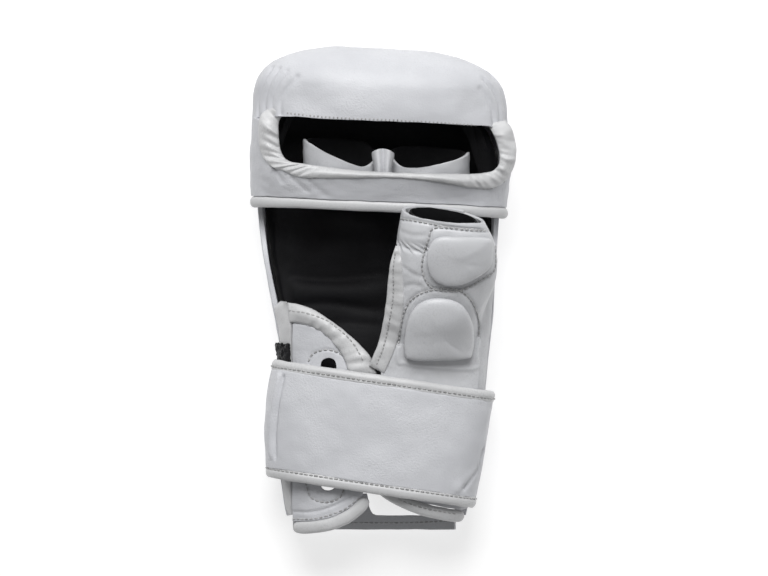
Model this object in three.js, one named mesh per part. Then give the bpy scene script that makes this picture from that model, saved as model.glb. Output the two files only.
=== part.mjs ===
import * as THREE from "three";

// A right-hand sparring glove lying on its back, palm up, in millimetres.
// X runs from the little finger to the thumb, Y from the cuff to the fingertips, Z up through the palm.
// Stations along the glove are measured from the lower edge of the finger band, fingers positive.

// Driving sizes of the finger head
const HEAD_LENGTH = 81.5; // band edge to the foremost point of the hood
const HEAD_WIDTH = 136;
const HEAD_HEIGHT = 80;
const TIP_RISE = 44; // height of the foremost point
const CAP_LENGTH = 30.5; // rounding of the hood seen from the palm
const CURL_LENGTH = 49.5; // rounding over the back of the fingers
const BROW_LENGTH = 27.5; // rounding over the palm side
const HOOD_EDGE = 41.5; // lower edge of the hood
const OPENING_SILL = 13.5; // lower edge of the finger opening
const HEAD_SQUARENESS = 2.8;
const HEAD_LEAN = THREE.MathUtils.degToRad(2.6); // the head sits a little askew on the hand

// Driving sizes of the padding and leather
const TIP_PAD = 23;
const BROW_PAD = 16;
const KNUCKLE_PAD = 26;
const HEEL_PAD = 12; // padding where the hood meets the back panel
const SIDE_PAD = 7;
const BAND_WALL = 2.5;
const BACK_PAD = 9.5;
const SIDE_WALL = 2.8;
const LEATHER = 2;
const LINING = 1.2;
const GAP = 0.3; // room between pieces that touch
const LINING_ROOM = 1.1; // room between a lining and the padding behind it
const HEAD_LINING_ROOM = 2;
const SEAM_ROOM = 1.9; // room along a slanted seam
const CREASE_DEPTH = 1.8;
const FOLD_RISE = 2.4; // padded cross folds of the palm lining

// Driving sizes of the hand and cuff
const BODY_LENGTH = 173.5;
const BODY_WIDTH = 126;
const BODY_HEIGHT = 56;
const BODY_SQUARENESS = 2.7;
const UNDERSIDE = 1.5; // how far the round of the back is pressed flat where it rests
const STRAP_LIFT = 3.4; // the cuff lies this high, on the strap that passes under it
const LIFT_FROM = 58;
const LIFT_TO = 76;
const ARCH_AT = 143; // the back of the cuff is open from here to its hem
const CUFF_SIDE_END = 164.6;
const ARCH_HALF_TURN = THREE.MathUtils.degToRad(55);

// Driving sizes of the thumb
const THUMB_LENGTH = 100;
const THUMB_WIDTH = 62;
const THUMB_HEIGHT = 86.5;
const THUMB_SQUARENESS = 2.5;
const THUMB_TIP = 5.6; // middle of the mouth below the band edge
const MOUTH_SLANT = 3.7;
const MOUTH_TILT = 2;
const THUMB_BACK_LENGTH = 19;
const THUMB_LINING_LENGTH = 22;
const PAD_LIFT = 3.2;

// Driving sizes of bindings
const OPENING_BINDING = { width: 6.6, height: 4.6 };
const BAND_PIPING = { width: 6, height: 4.4 };
const WEB_BINDING = { width: 7, height: 3.6 };
const FLAP_BINDING = { width: 6.2, height: 3.6 };
const STRAP_BINDING = { width: 6.2, height: 3.1 };

// Driving sizes of the flaps and the strap
const FLAP_LENGTH = 107.4;
const FLAP_WIDTH = 40.2;
const FLAP_TOP = 60.3;
const FLAP_LEFT = -46.2;
const SLOT_WIDTH = 8.4;
const SLOT_LENGTH = 69.6;
const SLOT_FROM = 81.9;
const SLOT_CENTRE = -27.2;
const HEEL_TOP = 103.5;
const HEEL_LENGTH = 58;
const SIDE_STRIP_TOP = 52.5;
const SIDE_STRIP_WALL = 3;
const PATCH_WALL = 1.3;
const PATCH_FROM = 74;
const PATCH_LENGTH = 66;
const PATCH_TO = THREE.MathUtils.degToRad(205);
const HEM_DEPTH = 7.6;
const HEM_STEP = 11.4; // the little-finger end of the hem is deeper by this
const HEM_STEP_AT = -6;
const STRAP_WIDTH = 62;
const STRAP_SPAN = 121;
const STRAP_HEIGHT = 56.4;
const STRAP_WALL = 2.5;
const STRAP_TILT = THREE.MathUtils.degToRad(8.4);
const STRAP_AT = 122;
const STRAP_SQUARENESS = 2.9;

// Driving sizes of the finger loops
const LOOP_DEPTH = 31;
const LOOP_WALL = 1.6;
const LOOP_FOOT = 4.5;
const POST_WIDTH = 12;
const POST_HEIGHT = 27.5;
const POST_WALL = 1.6;
const POST_SET_BACK = 2.4;

// Sections of the head: shares of its length, half width and height
const HEAD_SECTIONS = [
  { along: 0, left: 1, right: 0.982, high: 0.775 },
  { along: 0.17, left: 1.009, right: 0.994, high: 0.845 },
  { along: 0.49, left: 1.0, right: 0.988, high: 0.955 },
  { along: 0.66, left: 0.988, right: 0.978, high: 1 },
  { along: 1, left: 0.985, right: 0.976, high: 1 },
];

// Floor of the finger cavity: shares of the head's length and of the knuckle padding
const CAVITY_FLOOR = [
  { along: 0, rise: HEEL_PAD / KNUCKLE_PAD },
  { along: 0.17, rise: 0.72 },
  { along: 0.42, rise: 1 },
  { along: 1, rise: 1.04 },
];

// Sections of the hand and cuff: shares of the body's length, half width and height
const BODY_SECTIONS = [
  { along: 0, left: 1.04, right: 1, high: 1.09 },
  { along: 0.196, left: 0.968, right: 0.968, high: 1 },
  { along: 0.334, left: 0.886, right: 0.946, high: 0.946 },
  { along: 0.427, left: 0.848, right: 0.921, high: 0.91 },
  { along: 0.484, left: 0.81, right: 0.905, high: 0.902 },
  { along: 0.588, left: 0.838, right: 0.878, high: 0.893 },
  { along: 0.726, left: 0.88, right: 0.825, high: 0.893 },
  { along: 0.824, left: 0.841, right: 0.786, high: 0.875 },
  { along: 0.916, left: 0.802, right: 0.738, high: 0.857 },
  { along: 1, left: 0.746, right: 0.69, high: 0.839 },
];

// Sections of the thumb: shares of its length, width and height, x from the middle of the glove
const THUMB_SECTIONS = [
  { along: 0, left: 0.185, right: 0.845, low: 0.735, high: 0.995 },
  { along: 0.08, left: 0.165, right: 0.89, low: 0.69, high: 1 },
  { along: 0.19, left: 0.135, right: 0.972, low: 0.58, high: 0.985 },
  { along: 0.32, left: 0.09, right: 0.988, low: 0.46, high: 0.93 },
  { along: 0.443, left: 0.075, right: 0.972, low: 0.37, high: 0.865 },
  { along: 0.69, left: 0.015, right: 0.955, low: 0.32, high: 0.735 },
  { along: 0.89, left: -0.08, right: 0.927, low: 0.3, high: 0.62 },
  { along: 1, left: -0.09, right: 0.9, low: 0.29, high: 0.585 },
];

// Gathers at the corners of the hood: turn in degrees, shares of the crease depth and of the head's length
const HOOD_CREASES = [
  { turn: 132, depth: 0.6, from: 0.46, to: 0.9 },
  { turn: 140, depth: 0.9, from: 0.46, to: 0.96 },
  { turn: 148, depth: 1, from: 0.46, to: 0.98 },
  { turn: 156, depth: 0.7, from: 0.4, to: 0.95 },
  { turn: 28, depth: 0.6, from: 0.46, to: 0.88 },
  { turn: 20, depth: 0.9, from: 0.46, to: 0.93 },
  { turn: 12, depth: 0.7, from: 0.4, to: 0.9 },
];
const CREASE_HALF_TURN = 3.2;

// Columns of the finger band: turns in degrees at its foot and top edge, and the rise of its top as a
// share of the hood edge. Where no rise is given the top runs along the side seam of the hood.
const SILL = OPENING_SILL / HOOD_EDGE;
const BAND_COLUMNS = [
  { foot: -17, top: -17 },
  { foot: -8, top: -8 },
  { foot: 4, top: 4 },
  { foot: 12, top: 16 },
  { foot: 16, top: 21 },
  { foot: 19, top: 25, rise: 0.965, opening: true },
  { foot: 22, top: 25.5, rise: 0.84, opening: true },
  { foot: 25, top: 26, rise: 0.69, opening: true },
  { foot: 28, top: 27, rise: 0.54, opening: true },
  { foot: 31, top: 29.5, rise: 0.43, opening: true },
  { foot: 35, top: 34, rise: 1.12 * SILL, opening: true },
  { foot: 41, top: 40, rise: 1.03 * SILL, opening: true },
  { foot: 50, top: 50, rise: SILL, opening: true },
  { foot: 63, top: 63, rise: SILL, opening: true },
  { foot: 77, top: 77, rise: SILL, opening: true },
  { foot: 90, top: 90, rise: SILL, opening: true },
  { foot: 104, top: 104, rise: SILL, opening: true },
  { foot: 117, top: 117, rise: SILL, opening: true },
  { foot: 128, top: 127, rise: 1.015 * SILL, opening: true },
  { foot: 135, top: 135, rise: 1.06 * SILL, opening: true },
  { foot: 141, top: 141.5, rise: 0.38, opening: true },
  { foot: 146, top: 146, rise: 0.45, opening: true },
  { foot: 150, top: 149, rise: 0.56, opening: true },
  { foot: 153.5, top: 150.5, rise: 0.7, opening: true },
  { foot: 157, top: 150.5, rise: 0.84, opening: true },
  { foot: 160, top: 150, rise: 0.965, opening: true },
  { foot: 163, top: 156 },
  { foot: 168, top: 164 },
  { foot: 176, top: 176 },
  { foot: 187, top: 187 },
  { foot: 197, top: 197 },
];
const BAND_FLARE = 5; // the thumb side of the opening is pulled outward

// Edges of the little-finger flap: shares of its width and length
const FLAP_EDGES = [
  { across: 0, top: 0, foot: 1 },
  { across: 0.15, top: 0.017, foot: 0.999 },
  { across: 0.26, top: 0.036, foot: 0.995 },
  { across: 0.37, top: 0.061, foot: 0.99 },
  { across: 0.47, top: 0.089, foot: 0.982 },
  { across: 0.58, top: 0.122, foot: 0.967 },
  { across: 0.69, top: 0.155, foot: 0.947 },
  { across: 0.81, top: 0.2, foot: 0.912 },
  { across: 0.91, top: 0.244, foot: 0.868 },
  { across: 1, top: 0.277, foot: 0.817 },
];

// Lower edge of the thumb-side flap: shares of the way from its inner edge to the rim, and of its length
const HEEL_EDGES = [
  { across: 0, foot: 0.74 },
  { across: 0.12, foot: 0.86 },
  { across: 0.28, foot: 0.93 },
  { across: 0.5, foot: 0.975 },
  { across: 0.75, foot: 1 },
  { across: 1, foot: 0.99 },
];

// Sections of the strap across its width: shares of the half width, half span and height
const STRAP_SECTIONS = [
  { along: -1, left: -0.9, right: 0.9, high: 0.985 },
  { along: -0.7, left: -0.955, right: 0.91, high: 1 },
  { along: 0, left: -1.02, right: 0.925, high: 1 },
  { along: 0.6, left: -1.03, right: 0.93, high: 1 },
  { along: 1, left: -1, right: 0.93, high: 0.985 },
];

// Mouth edges of the finger loops: turn in degrees and height as a share of the hood edge
const LEFT_LOOP_MOUTH = [
  { turn: 0, rise: 0.63 },
  { turn: 45, rise: 0.42 },
  { turn: 90, rise: 0.5 },
  { turn: 135, rise: 0.66 },
  { turn: 180, rise: 0.75 },
  { turn: 230, rise: 0.79 },
  { turn: 310, rise: 0.77 },
  { turn: 360, rise: 0.63 },
];
const RIGHT_LOOP_MOUTH = [
  { turn: 0, rise: 0.69 },
  { turn: 45, rise: 0.57 },
  { turn: 90, rise: 0.47 },
  { turn: 135, rise: 0.44 },
  { turn: 180, rise: 0.66 },
  { turn: 230, rise: 0.74 },
  { turn: 310, rise: 0.73 },
  { turn: 360, rise: 0.69 },
];

// Padded cross folds of the palm lining: shares of the body's length and of the fold rise
const PALM_FOLDS = [
  { along: 0, rise: 0.3 },
  { along: 0.08, rise: 0.5 },
  { along: 0.17, rise: 0.9 },
  { along: 0.212, rise: 0 },
  { along: 0.25, rise: 0.9 },
  { along: 0.3, rise: 1 },
  { along: 0.36, rise: 0.1 },
  { along: 0.41, rise: 0.7 },
  { along: 0.5, rise: 0.2 },
  { along: 1, rise: 0 },
];

// Outlines of the thumb pads: shares of half their width and length, anticlockwise from the right
const UPPER_PAD_OUTLINE = [
  { x: 1, y: 0.62 },
  { x: 0.95, y: 0.95 },
  { x: 0, y: 1 },
  { x: -0.7, y: 0.98 },
  { x: -0.95, y: 0.55 },
  { x: -1, y: -0.1 },
  { x: -0.82, y: -0.75 },
  { x: -0.35, y: -1 },
  { x: 0.2, y: -0.92 },
  { x: 0.7, y: -0.55 },
  { x: 1, y: -0.15 },
];
const LOWER_PAD_OUTLINE = [
  { x: 1, y: 0 },
  { x: 0.9, y: 0.5 },
  { x: 0.6, y: 0.88 },
  { x: 0.05, y: 1 },
  { x: -0.5, y: 0.88 },
  { x: -0.82, y: 0.45 },
  { x: -0.97, y: -0.1 },
  { x: -1, y: -0.85 },
  { x: -0.85, y: -0.98 },
  { x: 0, y: -1.0 },
  { x: 0.88, y: -0.98 },
  { x: 0.99, y: -0.85 },
];
const UPPER_PAD = { x: 40.5, at: 30.3, halfWidth: 18, halfLength: 14.6, outline: UPPER_PAD_OUTLINE };
const LOWER_PAD = { x: 30, at: 65.8, halfWidth: 19.6, halfLength: 18.6, outline: LOWER_PAD_OUTLINE };

// Finishes
const FINISHES = {
  leather: { color: 0xdfe1e4, roughness: 0.55, metalness: 0 },
  binding: { color: 0xe4e3de, roughness: 0.5, metalness: 0 },
  lining: { color: 0x111216, roughness: 0.8, metalness: 0 },
  fastening: { color: 0x0c0c0e, roughness: 0.95, metalness: 0 },
};

const { clamp, lerp, smoothstep, degToRad } = THREE.MathUtils;

// Value of a column of a table at a share, on a smooth curve through its rows
function follow(table, share, column) {
  const last = table.length - 1;
  const at = clamp(share, table[0].along, table[last].along);
  let k = 0;
  while (k < last - 1 && table[k + 1].along < at) k += 1;
  const [a, b] = [table[k], table[k + 1]];
  const span = b.along - a.along;
  const t = (at - a.along) / span;
  const before = table[Math.max(k - 1, 0)];
  const after = table[Math.min(k + 2, last)];
  const slopeA = ((b[column] - before[column]) / (b.along - before.along)) * span;
  const slopeB = ((after[column] - a[column]) / (after.along - a.along)) * span;
  const t2 = t * t;
  const t3 = t2 * t;
  return (
    (2 * t3 - 3 * t2 + 1) * a[column] +
    (t3 - 2 * t2 + t) * slopeA +
    (3 * t2 - 2 * t3) * b[column] +
    (t3 - t2) * slopeB
  );
}

// One at the start of a rounded end, falling to nothing over its length
function roundOff(at, from, length, power) {
  const t = clamp((at - from) / length, 0, 1);
  return (1 - t ** power) ** (1 / power);
}

function steps(count, from = 0, to = 1) {
  return Array.from({ length: count + 1 }, (_, k) => lerp(from, to, k / count));
}

// A section is a squared oval given by its four sides
function section(left, right, low, high, squareness) {
  return {
    x: (left + right) / 2,
    z: (low + high) / 2,
    halfWidth: (right - left) / 2,
    halfHeight: (high - low) / 2,
    power: 2 / squareness,
  };
}

function aroundSection(oval, turn, y, floor) {
  const [c, s] = [Math.cos(turn), Math.sin(turn)];
  const x = oval.x + oval.halfWidth * Math.sign(c) * Math.abs(c) ** oval.power;
  const z = oval.z + oval.halfHeight * Math.sign(s) * Math.abs(s) ** oval.power;
  return new THREE.Vector3(x, y, Math.max(z, floor));
}

function onSection(oval, turn, y, floor) {
  const point = aroundSection(oval, turn, y, floor);
  point.y += lean(point.x, y);
  return point;
}

// Turn at which a section passes a given x, on its palm side
function turnAt(oval, x) {
  const share = clamp((x - oval.x) / oval.halfWidth, -1, 1);
  return Math.acos(Math.sign(share) * Math.abs(share) ** (1 / oval.power));
}

// The head sits askew, and the hand below it straightens out
function lean(x, y) {
  return -x * Math.tan(HEAD_LEAN) * smoothstep(y, -0.25 * BODY_LENGTH, 0);
}

function headSection(y, inset = 0) {
  const share = y / HEAD_LENGTH;
  const cap = roundOff(y, HEAD_LENGTH - CAP_LENGTH, CAP_LENGTH, 2.6);
  const curl = roundOff(y, HEAD_LENGTH - CURL_LENGTH, CURL_LENGTH, 2.2);
  const brow = roundOff(y, HEAD_LENGTH - BROW_LENGTH, BROW_LENGTH, 2.4);
  const half = (HEAD_WIDTH / 2) * cap;
  const high = HEAD_HEIGHT * follow(HEAD_SECTIONS, share, "high");
  return section(
    -half * follow(HEAD_SECTIONS, share, "left") + inset,
    half * follow(HEAD_SECTIONS, share, "right") - inset,
    TIP_RISE - (TIP_RISE + UNDERSIDE) * curl + inset,
    TIP_RISE + (high - TIP_RISE) * brow - inset,
    HEAD_SQUARENESS,
  );
}

// Cavity inside the padding, from the band edge to the inside of the tip
const CAVITY_LENGTH = HEAD_LENGTH - TIP_PAD;
function cavitySection(y, inset = 0) {
  const share = y / HEAD_LENGTH;
  const end = roundOff(y, 0.55 * CAVITY_LENGTH, 0.45 * CAVITY_LENGTH, 2.6);
  const side = lerp(BAND_WALL + GAP, SIDE_PAD, smoothstep(y, 0.4 * HOOD_EDGE, 1.2 * HOOD_EDGE));
  const half = (HEAD_WIDTH / 2 - side) * end;
  const low = KNUCKLE_PAD * follow(CAVITY_FLOOR, share, "rise");
  const high = HEAD_HEIGHT * follow(HEAD_SECTIONS, share, "high") - BROW_PAD;
  return section(
    -half * follow(HEAD_SECTIONS, share, "left") + inset,
    half * follow(HEAD_SECTIONS, share, "right") - inset,
    TIP_RISE - (TIP_RISE - low) * end + inset,
    TIP_RISE + (high - TIP_RISE) * end - inset,
    HEAD_SQUARENESS,
  );
}

function bodySection(y, inset = 0) {
  const share = -y / BODY_LENGTH;
  return section(
    (-BODY_WIDTH / 2) * follow(BODY_SECTIONS, share, "left") + inset,
    (BODY_WIDTH / 2) * follow(BODY_SECTIONS, share, "right") - inset,
    bodyFloor(y) + inset - UNDERSIDE,
    BODY_HEIGHT * follow(BODY_SECTIONS, share, "high") - inset,
    BODY_SQUARENESS,
  );
}

function bodyFloor(y) {
  return STRAP_LIFT * smoothstep(-y, LIFT_FROM, LIFT_TO);
}

function onBody(turn, y, inset = 0) {
  return onSection(bodySection(y, inset), turn, y, bodyFloor(y) + inset);
}

const SEAM_FOOT = -20; // turn, in degrees, at which a side seam reaches the band edge
const SEAM_TURN = 36;

// Lower edge of the hood: high over the palm side, down to the band edge behind the side seams
function hoodStart(turn) {
  const degrees = THREE.MathUtils.radToDeg(turn);
  const beside = degrees > 270 ? degrees - 360 : degrees;
  const thumbSide = clamp((beside - SEAM_FOOT) / SEAM_TURN, 0, 1);
  const pinkySide = clamp((180 - SEAM_FOOT - beside) / SEAM_TURN, 0, 1);
  return HOOD_EDGE * Math.min(thumbSide, pinkySide);
}

// Closed solid between an outer and an inner grid of points
function solid(outer, inner, { wrap = false, capEnd = false, skip = () => false } = {}) {
  const rows = outer.length;
  const columns = outer[0].length;
  const positions = [];
  [outer, inner].forEach((grid) => grid.forEach((row) => row.forEach((p) => positions.push(p.x, p.y, p.z))));
  const index = [];
  const at = (layer, i, j) => layer * rows * columns + i * columns + (j % columns);
  const cellColumns = wrap ? columns : columns - 1;
  const present = (i, j) => {
    const column = wrap ? (j + columns) % columns : j;
    return i >= 0 && i < rows - 1 && column >= 0 && column < cellColumns && !skip(i, column);
  };
  const quad = (a, b, c, d) => index.push(a, b, c, a, c, d);
  for (let i = 0; i < rows - 1; i += 1) {
    for (let j = 0; j < cellColumns; j += 1) {
      if (!present(i, j)) continue;
      quad(at(0, i, j), at(0, i, j + 1), at(0, i + 1, j + 1), at(0, i + 1, j));
      quad(at(1, i, j), at(1, i + 1, j), at(1, i + 1, j + 1), at(1, i, j + 1));
      if (!present(i - 1, j)) quad(at(0, i, j), at(1, i, j), at(1, i, j + 1), at(0, i, j + 1));
      if (!present(i + 1, j) && !(capEnd && i === rows - 2))
        quad(at(0, i + 1, j), at(0, i + 1, j + 1), at(1, i + 1, j + 1), at(1, i + 1, j));
      if (!present(i, j - 1)) quad(at(0, i, j), at(0, i + 1, j), at(1, i + 1, j), at(1, i, j));
      if (!present(i, j + 1))
        quad(at(0, i, j + 1), at(1, i, j + 1), at(1, i + 1, j + 1), at(0, i + 1, j + 1));
    }
  }
  if (capEnd) {
    [outer, inner].forEach((grid, layer) => {
      const end = grid[rows - 1];
      const middle = end.reduce((sum, p) => sum.add(p), new THREE.Vector3()).divideScalar(columns);
      const centre = positions.length / 3;
      positions.push(middle.x, middle.y, middle.z);
      end.forEach((_, j) => {
        const [a, b] = [at(layer, rows - 1, j), at(layer, rows - 1, j + 1)];
        index.push(...(layer ? [b, a, centre] : [a, b, centre]));
      });
    });
  }
  return closedGeometry(positions, index);
}

// Geometry from positions and faces, turned so that its faces point out
function closedGeometry(positions, index) {
  const corner = (k) => new THREE.Vector3().fromArray(positions, 3 * k);
  let volume = 0;
  for (let k = 0; k < index.length; k += 3)
    volume += corner(index[k]).dot(corner(index[k + 1]).cross(corner(index[k + 2])));
  const faces = volume < 0 ? [...index].reverse() : index;
  const geometry = new THREE.BufferGeometry();
  geometry.setAttribute("position", new THREE.Float32BufferAttribute(positions, 3));
  geometry.setIndex(faces);
  geometry.computeVertexNormals();
  return geometry;
}

// Normals of a grid, pointing away from a line inside the glove
function gridNormals(grid, wrap, inside) {
  const columns = grid[0].length;
  const before = (j) => (wrap ? (j + columns - 1) % columns : Math.max(j - 1, 0));
  const after = (j) => (wrap ? (j + 1) % columns : Math.min(j + 1, columns - 1));
  return grid.map((row, i) =>
    row.map((p, j) => {
      const along = new THREE.Vector3().subVectors(
        grid[Math.min(i + 1, grid.length - 1)][j],
        grid[Math.max(i - 1, 0)][j],
      );
      const across = new THREE.Vector3().subVectors(row[after(j)], row[before(j)]);
      const normal = along.cross(across).normalize();
      return normal.dot(new THREE.Vector3().subVectors(p, inside(p))) < 0 ? normal.negate() : normal;
    }),
  );
}

const handLine = (p) => new THREE.Vector3(0, p.y, BODY_HEIGHT / 2);
const thumbLine = (p) => new THREE.Vector3(THUMB_WIDTH / 2, p.y, 0.7 * THUMB_HEIGHT);

// Points of a grid moved along its normals, inward where the distance is positive
function inward(grid, distance, { wrap = false, inside = handLine } = {}) {
  const normals = gridNormals(grid, wrap, inside);
  return grid.map((row, i) =>
    row.map((p, j) => {
      const depth = typeof distance === "function" ? distance(i, j) : distance;
      return p.clone().addScaledVector(normals[i][j], -depth);
    }),
  );
}

function sheet(outer, thickness, options = {}) {
  return solid(outer, inward(outer, thickness, options), options);
}

// Stations of a binding along one edge of a sheet: where it starts, which way is off the edge, and up
function edgeStations(edge, behind, under) {
  return edge.map((p, k) => ({
    at: p.clone().lerp(under[k], 0.5),
    out: new THREE.Vector3().subVectors(p, behind[k]).normalize(),
    up: new THREE.Vector3().subVectors(p, under[k]).normalize(),
  }));
}

// A rounded bead beside an edge; swell gives its share of full size at each station
function bead(stations, { width, height }, { sides = 8, swell = () => 1, room = GAP } = {}) {
  const last = stations.length - 1;
  const rings = stations.map(({ at, out, up }, k) => {
    const next = stations[Math.min(k + 1, last)].at;
    const previous = stations[Math.max(k - 1, 0)].at;
    const along = new THREE.Vector3().subVectors(next, previous).normalize();
    const side = out.clone().addScaledVector(along, -out.dot(along)).normalize();
    const rise = new THREE.Vector3().crossVectors(along, side);
    if (rise.dot(up) < 0) rise.negate();
    const size = swell(k / last, k);
    const centre = at.clone().addScaledVector(side, room + width / 2);
    return steps(sides - 1, 0, ((sides - 1) / sides) * 2 * Math.PI).map((turn) =>
      centre
        .clone()
        .addScaledVector(side, (width / 2) * rounded(Math.cos(turn)) * Math.min(size, 1))
        .addScaledVector(rise, (height / 2) * rounded(Math.sin(turn)) * size),
    );
  });
  return tube(rings);
}

const rounded = (value) => Math.sign(value) * Math.abs(value) ** 0.8;

// Closed tube through rings of points, with flat ends
function tube(rings) {
  const sides = rings[0].length;
  const positions = rings.flat().flatMap((p) => [p.x, p.y, p.z]);
  const index = [];
  for (let i = 0; i < rings.length - 1; i += 1) {
    for (let j = 0; j < sides; j += 1) {
      const [a, b] = [i * sides + j, i * sides + ((j + 1) % sides)];
      index.push(a, b, b + sides, a, b + sides, a + sides);
    }
  }
  for (let j = 1; j < sides - 1; j += 1) {
    const base = (rings.length - 1) * sides;
    index.push(0, j + 1, j, base, base + j, base + j + 1);
  }
  return closedGeometry(positions, index);
}

function piece(name, geometry, finish) {
  const mesh = new THREE.Mesh(geometry, new THREE.MeshStandardMaterial(FINISHES[finish]));
  mesh.name = name;
  return mesh;
}

// Finger head
const HOOD_TURNS = [
  ...steps(8, 4, 36),
  ...steps(4, 50, 112),
  ...steps(10, 124, 164),
  176,
  187,
  197,
  ...steps(7, 214, 326),
  343,
  352,
];
const HOOD_ROWS = steps(9);
const TIP_CAP = 0.985;

function creaseDepth(degrees, share) {
  return HOOD_CREASES.reduce((sum, crease) => {
    const offset = (degrees - crease.turn) / CREASE_HALF_TURN;
    const reach =
      smoothstep(share, crease.from - 0.06, crease.from + 0.1) * (1 - smoothstep(share, crease.to - 0.25, crease.to));
    return sum + CREASE_DEPTH * crease.depth * reach * Math.exp(-offset * offset);
  }, 0);
}

function knuckleHood() {
  const outer = HOOD_ROWS.map((row) =>
    HOOD_TURNS.map((degrees) => {
      const turn = degToRad(degrees);
      const start = hoodStart(turn);
      const y = lerp(start, HEAD_LENGTH, TIP_CAP * Math.sin((row * Math.PI) / 2));
      const inset = creaseDepth(degrees, y / HEAD_LENGTH);
      return onSection(headSection(y, inset), turn, y, 0);
    }),
  );
  const inner = HOOD_ROWS.map((row) =>
    HOOD_TURNS.map((degrees) => {
      const turn = degToRad(degrees);
      const y = lerp(hoodStart(turn), CAVITY_LENGTH, TIP_CAP * Math.sin((row * Math.PI) / 2));
      return onSection(cavitySection(y), turn, y, 0);
    }),
  );
  // The rim stands square to the outer face, so that the band's wall meets it along the seam
  const square = gridNormals(outer, true, handLine)[0];
  inner[0] = outer[0].map((p, j) => p.clone().addScaledVector(square[j], -p.distanceTo(inner[0][j])));
  return solid(outer, inner, { wrap: true, capEnd: true });
}

function headLining() {
  const rows = steps(6);
  const turns = [...steps(3, 4, 26), ...steps(6, 34, 146), ...steps(3, 154, 178), ...steps(7, 190, 338), 352];
  const layer = (inset) =>
    rows.map((row) =>
      turns.map((degrees) => {
        const palmSide = degrees > 30 && degrees < 150;
        const start = palmSide ? HOOD_EDGE + 2 * GAP : 0;
        const end = CAVITY_LENGTH - inset;
        const y = lerp(start, end, TIP_CAP * Math.sin((row * Math.PI) / 2));
        return onSection(cavitySection(y + inset, inset), degToRad(degrees), y, 0);
      }),
    );
  return solid(layer(HEAD_LINING_ROOM), layer(HEAD_LINING_ROOM + LINING), { wrap: true, capEnd: true });
}

function fingerBandGrid() {
  const rows = [0, 0.25, 0.5, 0.75, 1];
  return rows.map((row) =>
    BAND_COLUMNS.map(({ foot, top, rise }) => {
      const degrees = lerp(foot, top, row);
      const y = row * (rise ? rise * HOOD_EDGE : hoodStart(degToRad(top)) - SEAM_ROOM);
      const point = onSection(headSection(y), degToRad(degrees), y, 0);
      const pulled = smoothstep(degrees, 4, 22) * (1 - smoothstep(degrees, 30, 48));
      point.x += BAND_FLARE * pulled * smoothstep(y, 0.1 * HOOD_EDGE, 0.55 * HOOD_EDGE);
      return point;
    }),
  );
}

const bandOuter = fingerBandGrid();
const bandInner = inward(bandOuter, BAND_WALL);

function openingBinding() {
  const top = bandOuter.length - 1;
  const keep = BAND_COLUMNS.map((column, j) => (column.opening ? j : -1)).filter((j) => j >= 0);
  const path = edgeStations(
    keep.map((j) => bandOuter[top][j]),
    keep.map((j) => bandOuter[top - 1][j]),
    keep.map((j) => bandInner[top][j]),
  );
  // The edge turns sharply at the corners, so the way off the edge is taken square to the edge itself
  const ups = path.map(({ up }) => up.clone());
  path.forEach((station, k) => {
    const [after, before] = [Math.min(k + 1, path.length - 1), Math.max(k - 1, 0)];
    station.up.add(ups[after]).add(ups[before]).normalize();
    const along = new THREE.Vector3().subVectors(path[after].at, path[before].at).normalize();
    station.out = new THREE.Vector3().crossVectors(along, station.up).normalize();
  });
  const sill = path[Math.floor(path.length / 2)];
  if (sill.out.y < 0) path.forEach((station) => station.out.negate());
  const gathers = (share, k) => {
    const side = Math.max(smoothstep(share, 0.62, 0.75), 1 - smoothstep(share, 0.18, 0.3));
    return 1 + 0.14 * side * (k % 2 ? 1 : -1);
  };
  return bead(refined(path), OPENING_BINDING, { swell: gathers, room: 2 * GAP });
}

// Twice as many stations, on a smooth curve through the given ones
function refined(path) {
  const curve = new THREE.CatmullRomCurve3(path.map((station) => station.at), false, "centripetal");
  const last = path.length - 1;
  return steps(2 * last).map((share) => {
    const k = Math.min(Math.floor(share * last), last - 1);
    const t = share * last - k;
    return {
      at: curve.getPoint(share),
      out: path[k].out.clone().lerp(path[k + 1].out, t).normalize(),
      up: path[k].up.clone().lerp(path[k + 1].up, t).normalize(),
    };
  });
}

function bandPiping() {
  const keep = BAND_COLUMNS.map(({ foot }, j) => (foot > -3 && foot < 183 ? j : -1)).filter((j) => j >= 0);
  return bead(
    edgeStations(
      keep.map((j) => bandOuter[0][j]),
      keep.map((j) => bandOuter[1][j]),
      keep.map((j) => bandInner[0][j]),
    ),
    BAND_PIPING,
  );
}

// Finger loops hang behind the band and lean with it
function bandFront(x, y) {
  const oval = headSection(y);
  return onSection(oval, turnAt(oval, x), y, 0).z - BAND_WALL;
}

const LOOP_ROOM = (OPENING_BINDING.height - BAND_WALL) / 2 + 2 * GAP;

function fingerLoop({ x, halfWidth, mouth }, inset, wall, reach = 0) {
  const turns = steps(15, 0, (15 / 16) * 360);
  const edge = mouth.map((row) => ({ along: row.turn, rise: row.rise }));
  const layer = (extra) =>
    [0, 0.35, 0.7, 1].map((row) =>
      turns.map((degrees) => {
        const turn = degToRad(degrees);
        const top = HOOD_EDGE * follow(edge, degrees, "rise") + reach;
        const y = lerp(LOOP_FOOT, top, row);
        const front = bandFront(x, y) - LOOP_ROOM;
        const depth = LOOP_DEPTH / 2 - inset - extra;
        const across = x + (halfWidth - inset - extra) * Math.cos(turn);
        const z = front - LOOP_DEPTH / 2 + depth * Math.sin(turn);
        return new THREE.Vector3(across, y + lean(across, y), z);
      }),
    );
  return solid(layer(0), layer(wall), { wrap: true });
}

const LEFT_LOOP = { x: -20.6, halfWidth: 20.2, mouth: LEFT_LOOP_MOUTH };
const RIGHT_LOOP = { x: 25.4, halfWidth: 22, mouth: RIGHT_LOOP_MOUTH };

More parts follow.
